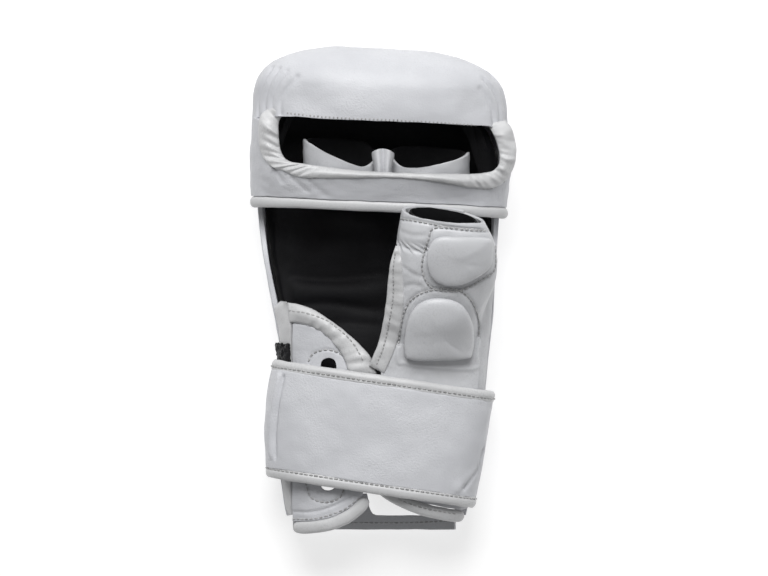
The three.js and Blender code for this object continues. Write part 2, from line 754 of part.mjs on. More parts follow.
function loopPost() {
  const middle = (LEFT_LOOP.x + LEFT_LOOP.halfWidth + RIGHT_LOOP.x - RIGHT_LOOP.halfWidth) / 2;
  const layer = (depth) =>
    steps(5).map((row) =>
      steps(8, -1, 1).map((side) => {
        const y = lerp(LOOP_FOOT, POST_HEIGHT, row);
        const x = middle + (side * POST_WIDTH) / 2;
        const lobe = 1.6 * Math.abs(Math.sin(side * Math.PI)) - 1.4 * side ** 4;
        return new THREE.Vector3(x, y + lean(x, y), bandFront(x, y) - POST_SET_BACK + lobe - 2 * row - depth);
      }),
    );
  return solid(layer(0), layer(POST_WALL));
}

// Hand and cuff
const TURN = 2 * Math.PI;
const RIM_ROOM = 0.045; // turn, in radians, left between the back panel's rim and what is sewn to it
function rimTurn(y, side) {
  const tucked = degToRad(lerp(8, -7, smoothstep(y, -0.13 * BODY_LENGTH, -0.04 * BODY_LENGTH)));
  return side === "thumb" ? tucked + TURN : Math.PI - tucked;
}

function trough(fromRim, from, foot, inset) {
  const rows = steps(13);
  const columns = [0, 0.04, 0.09, 0.15, 0.2, 0.235, 0.3, 0.4, 0.5, 0.6, 0.7, 0.765, 0.8, 0.85, 0.91, 0.96, 1];
  return rows.map((row) =>
    columns.map((across) => {
      const end = foot(across);
      const y = lerp(from, -end, row);
      const low = rimTurn(y, "pinky") + fromRim;
      const turn = lerp(low, rimTurn(y, "thumb") - fromRim, across);
      return onBody(turn, y, inset);
    }),
  );
}

function backFoot(across) {
  const turn = Math.PI * (1 + across);
  return Math.abs(turn - 1.5 * Math.PI) < ARCH_HALF_TURN ? ARCH_AT : CUFF_SIDE_END;
}

function backThickness(grid) {
  return (i, j) => {
    const share = j / (grid[0].length - 1);
    const low = Math.sin(Math.PI * share) ** 2;
    const ending = 1 - 0.55 * smoothstep(i / (grid.length - 1), 0.55, 0.9);
    return lerp(SIDE_WALL, BACK_PAD * ending, smoothstep(low, 0.25, 0.8));
  };
}

const backOuter = trough(0, -3 * GAP, backFoot, 0);
const backInner = inward(backOuter, backThickness(backOuter));

function palmLining() {
  const rows = steps(17);
  const share = ARCH_AT / CUFF_SIDE_END;
  const under = rows.map((row) => {
    const at = row * share * (backInner.length - 1);
    const i = Math.min(Math.floor(at), backInner.length - 2);
    return backInner[i].slice(1, -1).map((p, j) => p.clone().lerp(backInner[i + 1][j + 1], at - i));
  });
  const outer = inward(under, 2 * GAP);
  const thickness = (i, j) => {
    const fold = follow(PALM_FOLDS, -outer[i][j].y / BODY_LENGTH, "rise");
    const middle = Math.sin((Math.PI * j) / (outer[0].length - 1));
    return LINING + FOLD_RISE * fold * smoothstep(middle, 0.5, 0.95);
  };
  return sheet(outer, thickness);
}

function cuffHem() {
  const edges = [-46, -41.5, -40, -30, -18, HEM_STEP_AT - 1, HEM_STEP_AT + 1, 6, 18, 30, 40];
  const y = -(CUFF_SIDE_END + GAP);
  const outer = steps(3).map((row) =>
    edges.map((x) => {
      const deep = x > -41 && x < HEM_STEP_AT ? HEM_STEP : 0;
      const station = lerp(y + deep, y - HEM_DEPTH, row);
      return onBody(TURN - turnAt(bodySection(station), x), station);
    }),
  );
  return sheet(outer, LEATHER);
}

// Little-finger flap with its slot
const SLOT_LEFT = (SLOT_CENTRE - SLOT_WIDTH / 2 - FLAP_LEFT) / FLAP_WIDTH;
const SLOT_RIGHT = (SLOT_CENTRE + SLOT_WIDTH / 2 - FLAP_LEFT) / FLAP_WIDTH;
const FLAP_COLUMNS = [
  0,
  0.15,
  0.27,
  SLOT_LEFT,
  (SLOT_LEFT + SLOT_RIGHT) / 2,
  SLOT_RIGHT,
  lerp(SLOT_RIGHT, 1, 0.25),
  lerp(SLOT_RIGHT, 1, 0.55),
  lerp(SLOT_RIGHT, 1, 0.8),
  1,
];
const FLAP_ROWS_ABOVE = 3;
const FLAP_ROWS_BESIDE = 6;
const FLAP_ROWS_BELOW = 3;

function flapStation(across, i) {
  const edges = FLAP_EDGES.map((row) => ({ ...row, along: row.across }));
  const top = FLAP_TOP + FLAP_LENGTH * follow(edges, across, "top");
  const foot = FLAP_TOP + FLAP_LENGTH * follow(edges, across, "foot");
  const beyond = Math.max(across - SLOT_RIGHT, 0) * FLAP_WIDTH;
  const slotTop = SLOT_FROM + 0.9 * beyond;
  const slotFoot = SLOT_FROM + SLOT_LENGTH - 0.55 * beyond;
  if (i <= FLAP_ROWS_ABOVE) return lerp(top, slotTop, i / FLAP_ROWS_ABOVE);
  const beside = i - FLAP_ROWS_ABOVE;
  if (beside <= FLAP_ROWS_BESIDE) return lerp(slotTop, slotFoot, beside / FLAP_ROWS_BESIDE);
  return lerp(slotFoot, foot, (beside - FLAP_ROWS_BESIDE) / FLAP_ROWS_BELOW);
}

const flapOuter = steps(FLAP_ROWS_ABOVE + FLAP_ROWS_BESIDE + FLAP_ROWS_BELOW).map((_, i) =>
  FLAP_COLUMNS.map((across) => {
    const y = -flapStation(across, i);
    const x = FLAP_LEFT + across * FLAP_WIDTH;
    return onBody(turnAt(bodySection(y), x), y);
  }),
);
const flapInner = inward(flapOuter, LEATHER);

function pinkyFlap() {
  const slotColumn = FLAP_COLUMNS.indexOf(SLOT_LEFT);
  const inSlot = (i, j) =>
    i >= FLAP_ROWS_ABOVE &&
    i < FLAP_ROWS_ABOVE + FLAP_ROWS_BESIDE &&
    (j === slotColumn || j === slotColumn + 1);
  return solid(flapOuter, flapInner, { skip: inSlot });
}

function flapBinding(row, behind, drop) {
  const columns = FLAP_COLUMNS.map((_, j) => j).slice(0, FLAP_COLUMNS.length - drop);
  return bead(
    edgeStations(
      columns.map((j) => flapOuter[row][j]),
      columns.map((j) => flapOuter[behind][j]),
      columns.map((j) => flapInner[row][j]),
    ),
    FLAP_BINDING,
  );
}

function pinkySideStrip() {
  const outer = steps(10).map((row) => {
    const y = -lerp(SIDE_STRIP_TOP, CUFF_SIDE_END, row);
    const inner = turnAt(bodySection(y), FLAP_LEFT - 3 * GAP);
    const rim = rimTurn(y, "pinky") - RIM_ROOM;
    return steps(3, inner, rim).map((turn) => onBody(turn, y));
  });
  return sheet(outer, SIDE_STRIP_WALL);
}

function fasteningPatch() {
  const outer = steps(8).map((row) => {
    const y = -lerp(PATCH_FROM, PATCH_FROM + PATCH_LENGTH, row);
    const from = turnAt(bodySection(y), FLAP_LEFT + 1);
    return steps(6, from, PATCH_TO).map((turn) => onBody(turn, y, -LINING_ROOM - PATCH_WALL));
  });
  return sheet(outer, PATCH_WALL);
}

// Thumb
function thumbSection(y, inset = 0) {
  const share = (-THUMB_TIP + MOUTH_SLANT - y) / THUMB_LENGTH;
  return section(
    THUMB_WIDTH * follow(THUMB_SECTIONS, share, "left") + inset,
    THUMB_WIDTH * follow(THUMB_SECTIONS, share, "right") - inset,
    THUMB_HEIGHT * follow(THUMB_SECTIONS, share, "low") + inset,
    THUMB_HEIGHT * follow(THUMB_SECTIONS, share, "high") - inset,
    THUMB_SQUARENESS,
  );
}

function onThumb(turn, y, inset = 0) {
  return onSection(thumbSection(y, inset), turn, y, 0);
}

function mouthEdge(turn) {
  return -THUMB_TIP - MOUTH_SLANT * Math.sin(turn) - MOUTH_TILT * Math.cos(turn);
}

const THUMB_FOOT = THUMB_LENGTH + THUMB_TIP - MOUTH_SLANT;
const THUMB_REAR = degToRad(-60);
const WEB_TURN = degToRad(140);

// The thumb panel turns from the free tube of the thumb into the palm side of the cuff
function thumbPanelPoint(across, y) {
  const web = lerp(WEB_TURN, Math.PI, smoothstep(y, -0.3 * THUMB_LENGTH, -0.22 * THUMB_LENGTH));
  const free = onThumb(lerp(web, THUMB_REAR, across), y);
  const bend = across * across;
  const from = lerp(-1.02, -0.32, bend) * THUMB_LENGTH;
  const to = lerp(-0.56, -0.19, bend) * THUMB_LENGTH;
  const own = smoothstep(y, from, to);
  const middle = turnAt(bodySection(y), 0);
  const rim = rimTurn(y, "thumb") - TURN + RIM_ROOM;
  return onBody(lerp(middle, rim, across), y).lerp(free, own);
}

const THUMB_COLUMNS = steps(16);
const thumbOuter = steps(13).map((row) =>
  THUMB_COLUMNS.map((across) => {
    const mouth = mouthEdge(lerp(Math.PI, THUMB_REAR, across));
    return thumbPanelPoint(across, lerp(mouth, -THUMB_FOOT, row));
  }),
);
const thumbInner = inward(thumbOuter, LEATHER, { inside: thumbLine });

function thumbBack() {
  const outer = steps(4).map((row) =>
    steps(8, Math.PI + RIM_ROOM, TURN + THUMB_REAR - RIM_ROOM).map((turn) => {
      const mouth = mouthEdge(turn);
      return onThumb(turn, lerp(mouth, mouth - THUMB_BACK_LENGTH, row));
    }),
  );
  return sheet(outer, LEATHER, { inside: thumbLine });
}

function thumbLining() {
  const layer = (inset) =>
    steps(3).map((row) =>
      steps(15, 0, (15 / 16) * TURN).map((turn) => {
        const mouth = mouthEdge(turn) - 0.6;
        return onThumb(turn, lerp(mouth, mouth - THUMB_LINING_LENGTH, row), inset);
      }),
    );
  const outside = LEATHER + LINING_ROOM + 2 * GAP;
  return solid(layer(outside), layer(outside + LINING), { wrap: true });
}

function webBinding() {
  const keep = thumbOuter.map((_, i) => i).filter((i) => {
    const { y } = thumbOuter[i][0];
    return y < -0.25 * THUMB_LENGTH && y > -0.92 * THUMB_LENGTH;
  });
  const stations = edgeStations(
    keep.map((i) => thumbOuter[i][0]),
    keep.map((i) => thumbOuter[i][1]),
    keep.map((i) => thumbInner[i][0]),
  );
  const taper = (share) => 0.75 + 0.25 * Math.sin(Math.PI * share);
  return bead(refined(stations), WEB_BINDING, { swell: taper });
}

// Share across the thumb panel at which it passes a given x
function thumbShareAt(x, y) {
  let [low, high] = [0, 0.85];
  for (let k = 0; k < 24; k += 1) {
    const middle = (low + high) / 2;
    if (thumbPanelPoint(middle, y).x < x) low = middle;
    else high = middle;
  }
  return (low + high) / 2;
}

function thumbPad({ x, at, halfWidth, halfLength, outline }) {
  const corners = outline.map((corner) => new THREE.Vector3(corner.x * halfWidth, corner.y * halfLength, 0));
  const edge = new THREE.CatmullRomCurve3(corners, true, "centripetal").getPoints(20).slice(0, -1);
  const rings = [1, 0.94, 0.7, 0.35];
  const lifts = [0.15, 0.75, 1, 1.05];
  const layer = (lift) =>
    rings.map((ring, i) =>
      edge.map((p) => {
        const y = -at + ring * p.y;
        const across = thumbShareAt(x + ring * p.x, y);
        const point = thumbPanelPoint(across, y);
        const beside = thumbPanelPoint(across + 0.02, y).sub(thumbPanelPoint(across - 0.02, y));
        const along = thumbPanelPoint(across, y + 1).sub(thumbPanelPoint(across, y - 1));
        const up = beside.cross(along).normalize();
        if (up.z < 0) up.negate();
        return point.addScaledVector(up, SEAM_ROOM + lift * lifts[i] * PAD_LIFT);
      }),
    );
  return solid(layer(1), layer(0), { wrap: true, capEnd: true });
}

// Thumb-side flap of the cuff
const heelOuter = steps(7).map((row) =>
  steps(9).map((across) => {
    const edges = HEEL_EDGES.map((entry) => ({ ...entry, along: entry.across }));
    const foot = HEEL_TOP + HEEL_LENGTH * follow(edges, across, "foot");
    const top = Math.max(HEEL_TOP, THUMB_FOOT + GAP + 1);
    const y = -lerp(top, foot, row);
    const inner = turnAt(bodySection(y), 0);
    return onBody(lerp(inner, rimTurn(y, "thumb") - TURN + RIM_ROOM, across), y);
  }),
);
const heelInner = inward(heelOuter, LEATHER);

function heelBinding() {
  const row = heelOuter.length - 1;
  const columns = heelOuter[row].map((_, j) => j).slice(0, -1);
  return bead(
    edgeStations(
      columns.map((j) => heelOuter[row][j]),
      columns.map((j) => heelOuter[row - 1][j]),
      columns.map((j) => heelInner[row][j]),
    ),
    FLAP_BINDING,
  );
}

// Wrist strap: an open loop in its own tilted frame, its ends meeting under the glove
const STRAP_FROM = degToRad(-75);
const STRAP_TO = degToRad(252);
const STRAP_LEATHER = STRAP_WIDTH / 2 - STRAP_BINDING.width - GAP;
const strapOuter = [-1, -0.5, 0, 0.5, 1].map((row) =>
  steps(35, STRAP_FROM, STRAP_TO).map((turn) => {
    const y = row * STRAP_LEATHER;
    const share = y / (STRAP_WIDTH / 2);
    const oval = section(
      (STRAP_SPAN / 2) * follow(STRAP_SECTIONS, share, "left"),
      (STRAP_SPAN / 2) * follow(STRAP_SECTIONS, share, "right"),
      -UNDERSIDE,
      STRAP_HEIGHT * follow(STRAP_SECTIONS, share, "high"),
      STRAP_SQUARENESS,
    );
    return aroundSection(oval, turn, y, (STRAP_BINDING.height - STRAP_WALL) / 2);
  }),
);
const strapInner = inward(strapOuter, STRAP_WALL);

function strapBinding(row, behind) {
  return bead(edgeStations(strapOuter[row], strapOuter[behind], strapInner[row]), STRAP_BINDING, { sides: 6 });
}

function wristStrap() {
  const group = new THREE.Group();
  group.add(
    piece("wrist_strap", solid(strapOuter, strapInner), "leather"),
    piece("strap_lower_binding", strapBinding(0, 1), "binding"),
    piece("strap_upper_binding", strapBinding(4, 3), "binding"),
  );
  group.position.y = -STRAP_AT;
  group.rotation.z = -STRAP_TILT;
  return group;
}

const glove = new THREE.Group();
glove.add(
  piece("knuckle_hood", knuckleHood(), "leather"),
  piece("head_lining", headLining(), "lining"),
  piece("finger_band", solid(bandOuter, bandInner), "leather"),
  piece("finger_opening_binding", openingBinding(), "binding"),
  piece("finger_band_piping", bandPiping(), "binding"),
  piece("finger_loop_left", fingerLoop(LEFT_LOOP, 0, LOOP_WALL), "leather"),
  piece("finger_loop_lining_left", fingerLoop(LEFT_LOOP, LOOP_WALL + GAP, 1, -1), "lining"),
  piece("finger_loop_right", fingerLoop(RIGHT_LOOP, 0, LOOP_WALL), "leather"),
  piece("finger_loop_lining_right", fingerLoop(RIGHT_LOOP, LOOP_WALL + GAP, 1, -1), "lining"),
  piece("loop_post", loopPost(), "leather"),
  piece("back_panel", solid(backOuter, backInner), "leather"),
  piece("palm_lining", palmLining(), "lining"),
  piece("cuff_hem", cuffHem(), "leather"),
  piece("pinky_flap", pinkyFlap(), "leather"),
  piece("flap_upper_binding", flapBinding(0, 1, 1), "binding"),
  piece("flap_lower_binding", flapBinding(flapOuter.length - 1, flapOuter.length - 2, 1), "binding"),
  piece("pinky_side_strip", pinkySideStrip(), "binding"),
  piece("fastening_patch", fasteningPatch(), "fastening"),
  piece("thumb_panel", solid(thumbOuter, thumbInner), "leather"),
  piece("thumb_back", thumbBack(), "leather"),
  piece("thumb_lining", thumbLining(), "lining"),
  piece("thumb_pad_upper", thumbPad(UPPER_PAD), "leather"),
  piece("thumb_pad_lower", thumbPad(LOWER_PAD), "leather"),
  piece("web_binding", webBinding(), "binding"),
  piece("heel_panel", solid(heelOuter, heelInner), "leather"),
  piece("heel_binding", heelBinding(), "binding"),
  wristStrap(),
);

// The origin is the middle of the footprint, on the surface that the glove lies on
glove.updateMatrixWorld(true);
const bounds = new THREE.Box3().setFromObject(glove, true);
const middle = bounds.getCenter(new THREE.Vector3());
glove.position.set(-middle.x, -middle.y, -bounds.min.z);
glove.updateMatrixWorld(true);

export default glove;
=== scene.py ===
"""A white leather sparring glove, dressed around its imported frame.

The glove lies on its back, palm up, fingers towards +Y and thumb towards +X. Lengths are in metres.
"""

import logging
import math
from collections.abc import Callable, Sequence
from dataclasses import dataclass
from enum import Enum

import bpy
import numpy as np
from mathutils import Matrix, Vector, noise
from mathutils.bvhtree import BVHTree
from mathutils.kdtree import KDTree


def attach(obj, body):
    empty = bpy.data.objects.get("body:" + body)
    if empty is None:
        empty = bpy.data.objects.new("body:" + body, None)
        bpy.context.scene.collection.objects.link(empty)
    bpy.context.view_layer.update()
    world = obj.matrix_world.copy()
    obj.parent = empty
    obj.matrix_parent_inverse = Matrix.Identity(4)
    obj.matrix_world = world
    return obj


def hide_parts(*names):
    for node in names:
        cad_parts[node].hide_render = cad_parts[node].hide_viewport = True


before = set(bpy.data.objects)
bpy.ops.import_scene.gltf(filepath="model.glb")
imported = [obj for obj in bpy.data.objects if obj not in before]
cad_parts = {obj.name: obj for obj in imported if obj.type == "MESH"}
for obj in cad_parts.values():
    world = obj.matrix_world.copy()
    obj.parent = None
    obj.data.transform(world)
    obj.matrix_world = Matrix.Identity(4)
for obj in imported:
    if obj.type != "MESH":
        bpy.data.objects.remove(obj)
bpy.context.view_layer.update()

MM = 0.001
BODY = "root"

# The photograph's frame: pixels across and down, and where the glove's origin falls in it
PHOTO_WIDTH = 768
PHOTO_HEIGHT = 576
PHOTO_ORIGIN = (381.0, 289.5)
PIXEL = 0.5236 * MM

# How a line of the photograph is laid: it falls from the ceiling, a point at every step
CEILING = 0.2
DOWN = (0.0, 0.0, -1.0)
CURVE_STEPS = 24
STEP = 0.5 * MM

# What parts a line of stitches, and how many points still make a crumb of it that is dropped
LEAP = 2.0 * MM
CRUMB = 8

# The pattern of worn leather: its roughness, how fine and how many its layers are, and the seeds' shift
FRACTAL = (1.0, 2.1, 3)
SEED_STEP = (7.3, 3.1, 1.7)

# The stuffing of a padded piece: its pressure and how long it acts
PRESSURE = 4.0
PRESSURE_STEPS = 20

TINY = 1e-12

Array = np.ndarray
Piece = bpy.types.Object
Socket = bpy.types.NodeSocket
Tree = bpy.types.NodeTree
Spot = tuple[float, float]
Place = tuple[float, float, float]
Tint = tuple[float, float, float]

log = logging.getLogger("glove")


class Side(Enum):
    """Which way a line is pressed into a surface."""

    SUNK = -1.0
    RAISED = 1.0


@dataclass(frozen=True)
class Crease:
    """A line pressed into a surface, of which a third of the depth is left at half_width from it.

    What lies deeper under the line than reach stays.
    """

    half_width: float
    depth: float
    side: Side = Side.SUNK
    reach: float = 3.2 * MM

    @property
    def room(self) -> float:
        """How far from the line the surface still bends."""
        return 3 * self.half_width


@dataclass(frozen=True)
class Waves:
    """Shallow hollows of one size and height, finer along X, Y and Z by their grain."""

    size: float
    height: float
    seed: int
    grain: Place = (1, 1, 1)


# Meshes


def select_only(piece: Piece) -> None:
    """Leave one piece selected and active."""
    bpy.ops.object.select_all(action="DESELECT")
    piece.select_set(True)
    bpy.context.view_layer.objects.active = piece


def open_mesh(piece: Piece) -> None:
    """Start to edit a piece, with everything in it selected."""
    select_only(piece)
    bpy.ops.object.mode_set(mode="EDIT")
    bpy.ops.mesh.select_all(action="SELECT")


def close_mesh() -> None:
    """End the editing of a piece and shade it smooth."""
    bpy.ops.object.mode_set(mode="OBJECT")
    bpy.ops.object.shade_smooth()


def skin_of(node: str, name: str, fatten: float = 0.0) -> Piece:
    """Copy a node of the frame as quads, ready to be refined.

    Args:
        node: the node that the new piece stands for.
        name: the new piece's name.
        fatten: how far its faces are moved outward, which makes up for the rounding of the refined mesh.

    Returns:
        The new piece.
    """
    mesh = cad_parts[node].data.copy()
    mesh.materials.clear()
    piece = bpy.data.objects.new(name, mesh)
    bpy.context.scene.collection.objects.link(piece)
    select_only(piece)
    if mesh.has_custom_normals:
        bpy.ops.mesh.customdata_custom_splitnormals_clear()
    open_mesh(piece)
    bpy.ops.mesh.remove_doubles(threshold=0.01 * MM)
    bpy.ops.mesh.tris_convert_to_quads(face_threshold=math.radians(50), shape_threshold=math.radians(120))
    if fatten:
        bpy.ops.transform.shrink_fatten(value=fatten)
    bpy.ops.object.mode_set(mode="OBJECT")
    return piece


def finish_modifier(piece: Piece, kind: str, **settings: object) -> None:
    """Add a modifier to a piece and apply it.

    Args:
        piece: the piece.
        kind: the modifier's type.
        settings: its settings by name.
    """
    modifier = piece.modifiers.new(kind.lower(), kind)
    for setting, value in settings.items():
        setattr(modifier, setting, value)
    select_only(piece)
    bpy.ops.object.modifier_apply(modifier=modifier.name)


def round_edges(piece: Piece, width: float, angle: float) -> None:
    """Round the cut edges of a sheet."""
    limit = math.radians(angle)
    finish_modifier(piece, "BEVEL", width=width, segments=2, limit_method="ANGLE", angle_limit=limit)


def refine(piece: Piece, levels: int) -> None:
    """Smooth a piece by subdivision."""
    finish_modifier(piece, "SUBSURF", levels=levels, render_levels=levels)
    bpy.ops.object.shade_smooth()


def points_of(piece: Piece) -> Array:
    """Positions of a piece's vertices, one row each."""
    flat = np.empty(3 * len(piece.data.vertices))
    piece.data.vertices.foreach_get("co", flat)
    return flat.reshape(-1, 3)


def normals_of(piece: Piece) -> Array:
    """Normals of a piece's vertices, one row each."""
    flat = np.empty(3 * len(piece.data.vertices))
    piece.data.vertices.foreach_get("normal", flat)
    return flat.reshape(-1, 3)


def move_points(piece: Piece, points: Array) -> None:
    """Put a piece's vertices at new positions."""
    piece.data.vertices.foreach_set("co", points.ravel())
    piece.data.update()


def smoothstep(values: Array, low: float, high: float) -> Array:
    """Ramp values smoothly from 0 at low to 1 at high."""
    share = np.clip((values - low) / (high - low), 0.0, 1.0)
    return share * share * (3 - 2 * share)


def swell(piece: Piece, travel: float, freedom: Callable[[Array, Array], Array]) -> None:
    """Fill a padded piece from inside, by a short cloth simulation.

    Args:
        piece: the piece.
        travel: the furthest that a point may move.
        freedom: share of the travel that each point has, from its position and normal.
    """
    still = points_of(piece)
    free = freedom(still, normals_of(piece))
    stuffing = piece.modifiers.new("stuffing", "CLOTH")
    stuffing.settings.use_pressure = True
    stuffing.settings.uniform_pressure_force = PRESSURE
    stuffing.settings.effector_weights.gravity = 0.0
    stuffing.point_cache.frame_start = 1
    stuffing.point_cache.frame_end = PRESSURE_STEPS
    scene = bpy.context.scene
    for step in range(1, PRESSURE_STEPS + 1):
        scene.frame_set(step)
    select_only(piece)
    bpy.ops.object.modifier_apply(modifier=stuffing.name)
    scene.frame_set(1)
    moved = points_of(piece) - still
    length = np.maximum(np.linalg.norm(moved, axis=1), TINY)
    share = np.minimum(1.0, travel * free / length)
    move_points(piece, still + moved * share[:, None])


def crumple(piece: Piece, *layers: Waves) -> None:
    """Give a surface the shallow unevenness of worn, stuffed leather.

    Args:
        piece: the piece.
        layers: the waves that it gets, one after the other.
    """
    for waves in layers:
        points, normals = points_of(piece), normals_of(piece)
        scale = np.array(waves.grain) / waves.size
        shift = Vector([waves.seed * part for part in SEED_STEP])
        heights = np.array([noise.fractal(Vector(p * scale) + shift, *FRACTAL) for p in points])
        move_points(piece, points + normals * (waves.height * heights)[:, None])


# Lines on surfaces


def at(column: float, row: float) -> Spot:
    """Where a pixel of the photograph falls on the glove, in X and Y."""
    return (column - PHOTO_ORIGIN[0]) * PIXEL, (PHOTO_ORIGIN[1] - row) * PIXEL


def smooth_line(corners: Sequence[Spot], closed: bool = False) -> Array:
    """Run an even curve through the corners of a line.

    Args:
        corners: points that the curve passes.
        closed: whether it returns to its first corner.

    Returns:
        Points along the curve, close together.
    """
    knots = np.array(corners, float)
    if closed:
        knots = np.vstack([knots[-1:], knots, knots[:2]])
    else:
        knots = np.vstack([2 * knots[0] - knots[1], knots, 2 * knots[-1] - knots[-2]])
    t = np.linspace(0, 1, CURVE_STEPS, endpoint=False)[:, None]
    runs = []
    for a, b, c, d in zip(knots, knots[1:], knots[2:], knots[3:]):
        bow = (2 * a - 5 * b + 4 * c - d) * t**2
        sway = (3 * b - a - 3 * c + d) * t**3
        runs.append(0.5 * (2 * b + (c - a) * t + bow + sway))
    return np.vstack([*runs, knots[-2:-1]])


def length_of(line: Array) -> float:
    """Length of a line, from its points."""
    return float(np.linalg.norm(np.diff(line, axis=0), axis=1).sum())


def evenly(line: Array, spacing: float) -> Array:
    """Space the points of a line evenly, as near to the spacing as its length allows."""
    run = np.concatenate([[0], np.cumsum(np.linalg.norm(np.diff(line, axis=0), axis=1))])
    marks = np.linspace(0, run[-1], max(int(round(run[-1] / spacing)), 1) + 1)
    return np.column_stack([np.interp(marks, run, line[:, k]) for k in range(line.shape[1])])


@dataclass
class Seam:
    """A line that lies on a surface, with the surface's normal at each point."""

    points: Array
    normals: Array

    def spaced(self, spacing: float) -> "Seam":
        """Space the seam's points evenly, spacing apart."""
        both = evenly(np.hstack([self.points, self.normals * MM]), spacing)
        normals = both[:, 3:]
        return Seam(both[:, :3], normals / np.linalg.norm(normals, axis=1)[:, None])

    def runs(self) -> list["Seam"]:
        """Split the seam where it leaps from one surface to another, and drop its crumbs."""
        leaps = np.flatnonzero(np.linalg.norm(np.diff(self.points, axis=0), axis=1) > LEAP) + 1
        parts = zip(np.split(self.points, leaps), np.split(self.normals, leaps))
        return [Seam(points, normals) for points, normals in parts if len(points) > CRUMB]

    def shifted(self, aside: float) -> "Seam":
        """Move the seam sideways along the surface, to the left of its run where aside is positive."""
        along = np.gradient(self.points, axis=0)
        left = np.cross(self.normals, along)
        left /= np.maximum(np.linalg.norm(left, axis=1), TINY)[:, None]
        return Seam(self.points + aside * left, self.normals)


def tree_over(pieces: Sequence[Piece]) -> BVHTree:
    """Gather the faces of some pieces, for casts at all of them at once.

    Args:
        pieces: the pieces.

    Returns:
        The tree of their faces.
    """
    corners: list[Vector] = []
    faces: list[tuple[int, ...]] = []
    for piece in pieces:
        base = len(corners)
        corners += [vertex.co for vertex in piece.data.vertices]
        faces += [tuple(base + k for k in face.vertices) for face in piece.data.polygons]
    return BVHTree.FromPolygons(corners, faces)


def cast(pieces: Sequence[Piece], starts: Array, ways: Array) -> Seam:
    """Lay a line on the pieces that it meets first, by casting each of its points at them.

    Args:
        pieces: the pieces.
        starts: where each cast starts.
        ways: the direction of each cast.

    Returns:
        The line on the surface, without the points that miss.
    """
    tree = tree_over(pieces)
    hits = [tree.ray_cast(Vector(start), Vector(way)) for start, way in zip(starts, ways)]
    kept = [(place, normal) for place, normal, _, _ in hits if place is not None]
    if not kept:
        raise ValueError(f"no point of a line meets {pieces[0].name}")
    return Seam(np.array([place for place, _ in kept]), np.array([normal for _, normal in kept]))


def seam_on(pieces: Piece | Sequence[Piece], pixels: Sequence[Spot], closed: bool = False) -> Seam:
    """Lay a line of the photograph on one or more pieces, seen from above.

    Args:
        pieces: the piece or pieces.
        pixels: corners of the line in the photograph.
        closed: whether it returns to its first corner.

    Returns:
        The seam on the surface.
    """
    pieces = [pieces] if isinstance(pieces, Piece) else pieces
    flat = evenly(smooth_line([at(*pixel) for pixel in pixels], closed), STEP)
    starts = np.column_stack([flat, np.full(len(flat), CEILING)])
    return cast(pieces, starts, np.tile(DOWN, (len(flat), 1)))


def press(piece: Piece, seam: Seam, crease: Crease) -> None:
    """Press a line into a surface, or raise a ridge along it.

    Args:
        piece: the piece.
        seam: the line.
        crease: how wide and deep it is.
    """
    tree = KDTree(len(seam.points))
    for k, point in enumerate(seam.points):
        tree.insert(point, k)
    tree.balance()
    points = points_of(piece)
    low = seam.points.min(0) - crease.room
    high = seam.points.max(0) + crease.room
    for k in np.flatnonzero(np.all((points > low) & (points < high), axis=1)):
        _, nearest, _ = tree.find(points[k])
        normal = seam.normals[nearest]
        offset = points[k] - seam.points[nearest]
        under = float(offset @ normal)
        aside = float(np.linalg.norm(offset - under * normal))
        if abs(under) > crease.reach + aside or aside > crease.room:
            continue
        fall = math.exp(-((aside / crease.half_width) ** 2))
        points[k] += crease.side.value * crease.depth * fall * normal
    move_points(piece, points)


# Finishes


def new_group(name: str, inputs: dict[str, float | None], outputs: Sequence[str]) -> Tree:
    """Start a shader node group with named sockets.

    Args:
        name: the group's name.
        inputs: each input's name and default, or None for a vector.
        outputs: names of its value outputs.

    Returns:
        The group, with its input and output nodes placed.
    """
    group = bpy.data.node_groups.new(name, "ShaderNodeTree")
    for label, default in inputs.items():
        kind = "NodeSocketVector" if default is None else "NodeSocketFloat"
        socket = group.interface.new_socket(label, in_out="INPUT", socket_type=kind)
        if default is not None:
            socket.default_value = default
    for label in outputs:
        group.interface.new_socket(label, in_out="OUTPUT", socket_type="NodeSocketFloat")
    group.nodes.new("NodeGroupInput")
    group.nodes.new("NodeGroupOutput")
    return group


def value_node(tree: Tree, kind: str, *wired: object, **settings: object) -> bpy.types.Node:
    """Add a node, set it up and wire its inputs.

    Args:
        tree: the node tree.
        kind: the node's type.
        wired: for each input in order, a socket, a constant, or None to leave it.
        settings: the node's own settings.

    Returns:
        The node.
    """
    node = tree.nodes.new(kind)
    for setting, value in settings.items():
        setattr(node, setting, value)
    for socket, source in zip(node.inputs, wired):
        if isinstance(source, Socket):
            tree.links.new(source, socket)
        elif source is not None:
            socket.default_value = source
    return node


def maths(tree: Tree, operation: str, *wired: object) -> Socket:
    """Add a math node and return its result."""
    return value_node(tree, "ShaderNodeMath", *wired, operation=operation).outputs[0]


def noise_at(tree: Tree, place: object, scale: object, detail: float) -> Socket:
    """Add a noise texture.

    Args:
        tree: the node tree.
        place: the position socket.
        scale: its scale, a number or a socket.
        detail: how many finer layers it has.

    Returns:
        The socket of its value.
    """
    node = tree.nodes.new("ShaderNodeTexNoise")
    tree.links.new(place, node.inputs["Vector"])
    node.inputs["Detail"].default_value = detail
    if isinstance(scale, Socket):
        tree.links.new(scale, node.inputs["Scale"])
    else:
        node.inputs["Scale"].default_value = scale
    return node.outputs["Fac"]


def ramp(tree: Tree, value: Socket, low: float, high: float, start: float = 0.0, end: float = 1.0) -> Socket:
    """Map a value that runs from low to high onto the range from start to end."""
    return value_node(tree, "ShaderNodeMapRange", value, low, high, start, end).outputs[0]


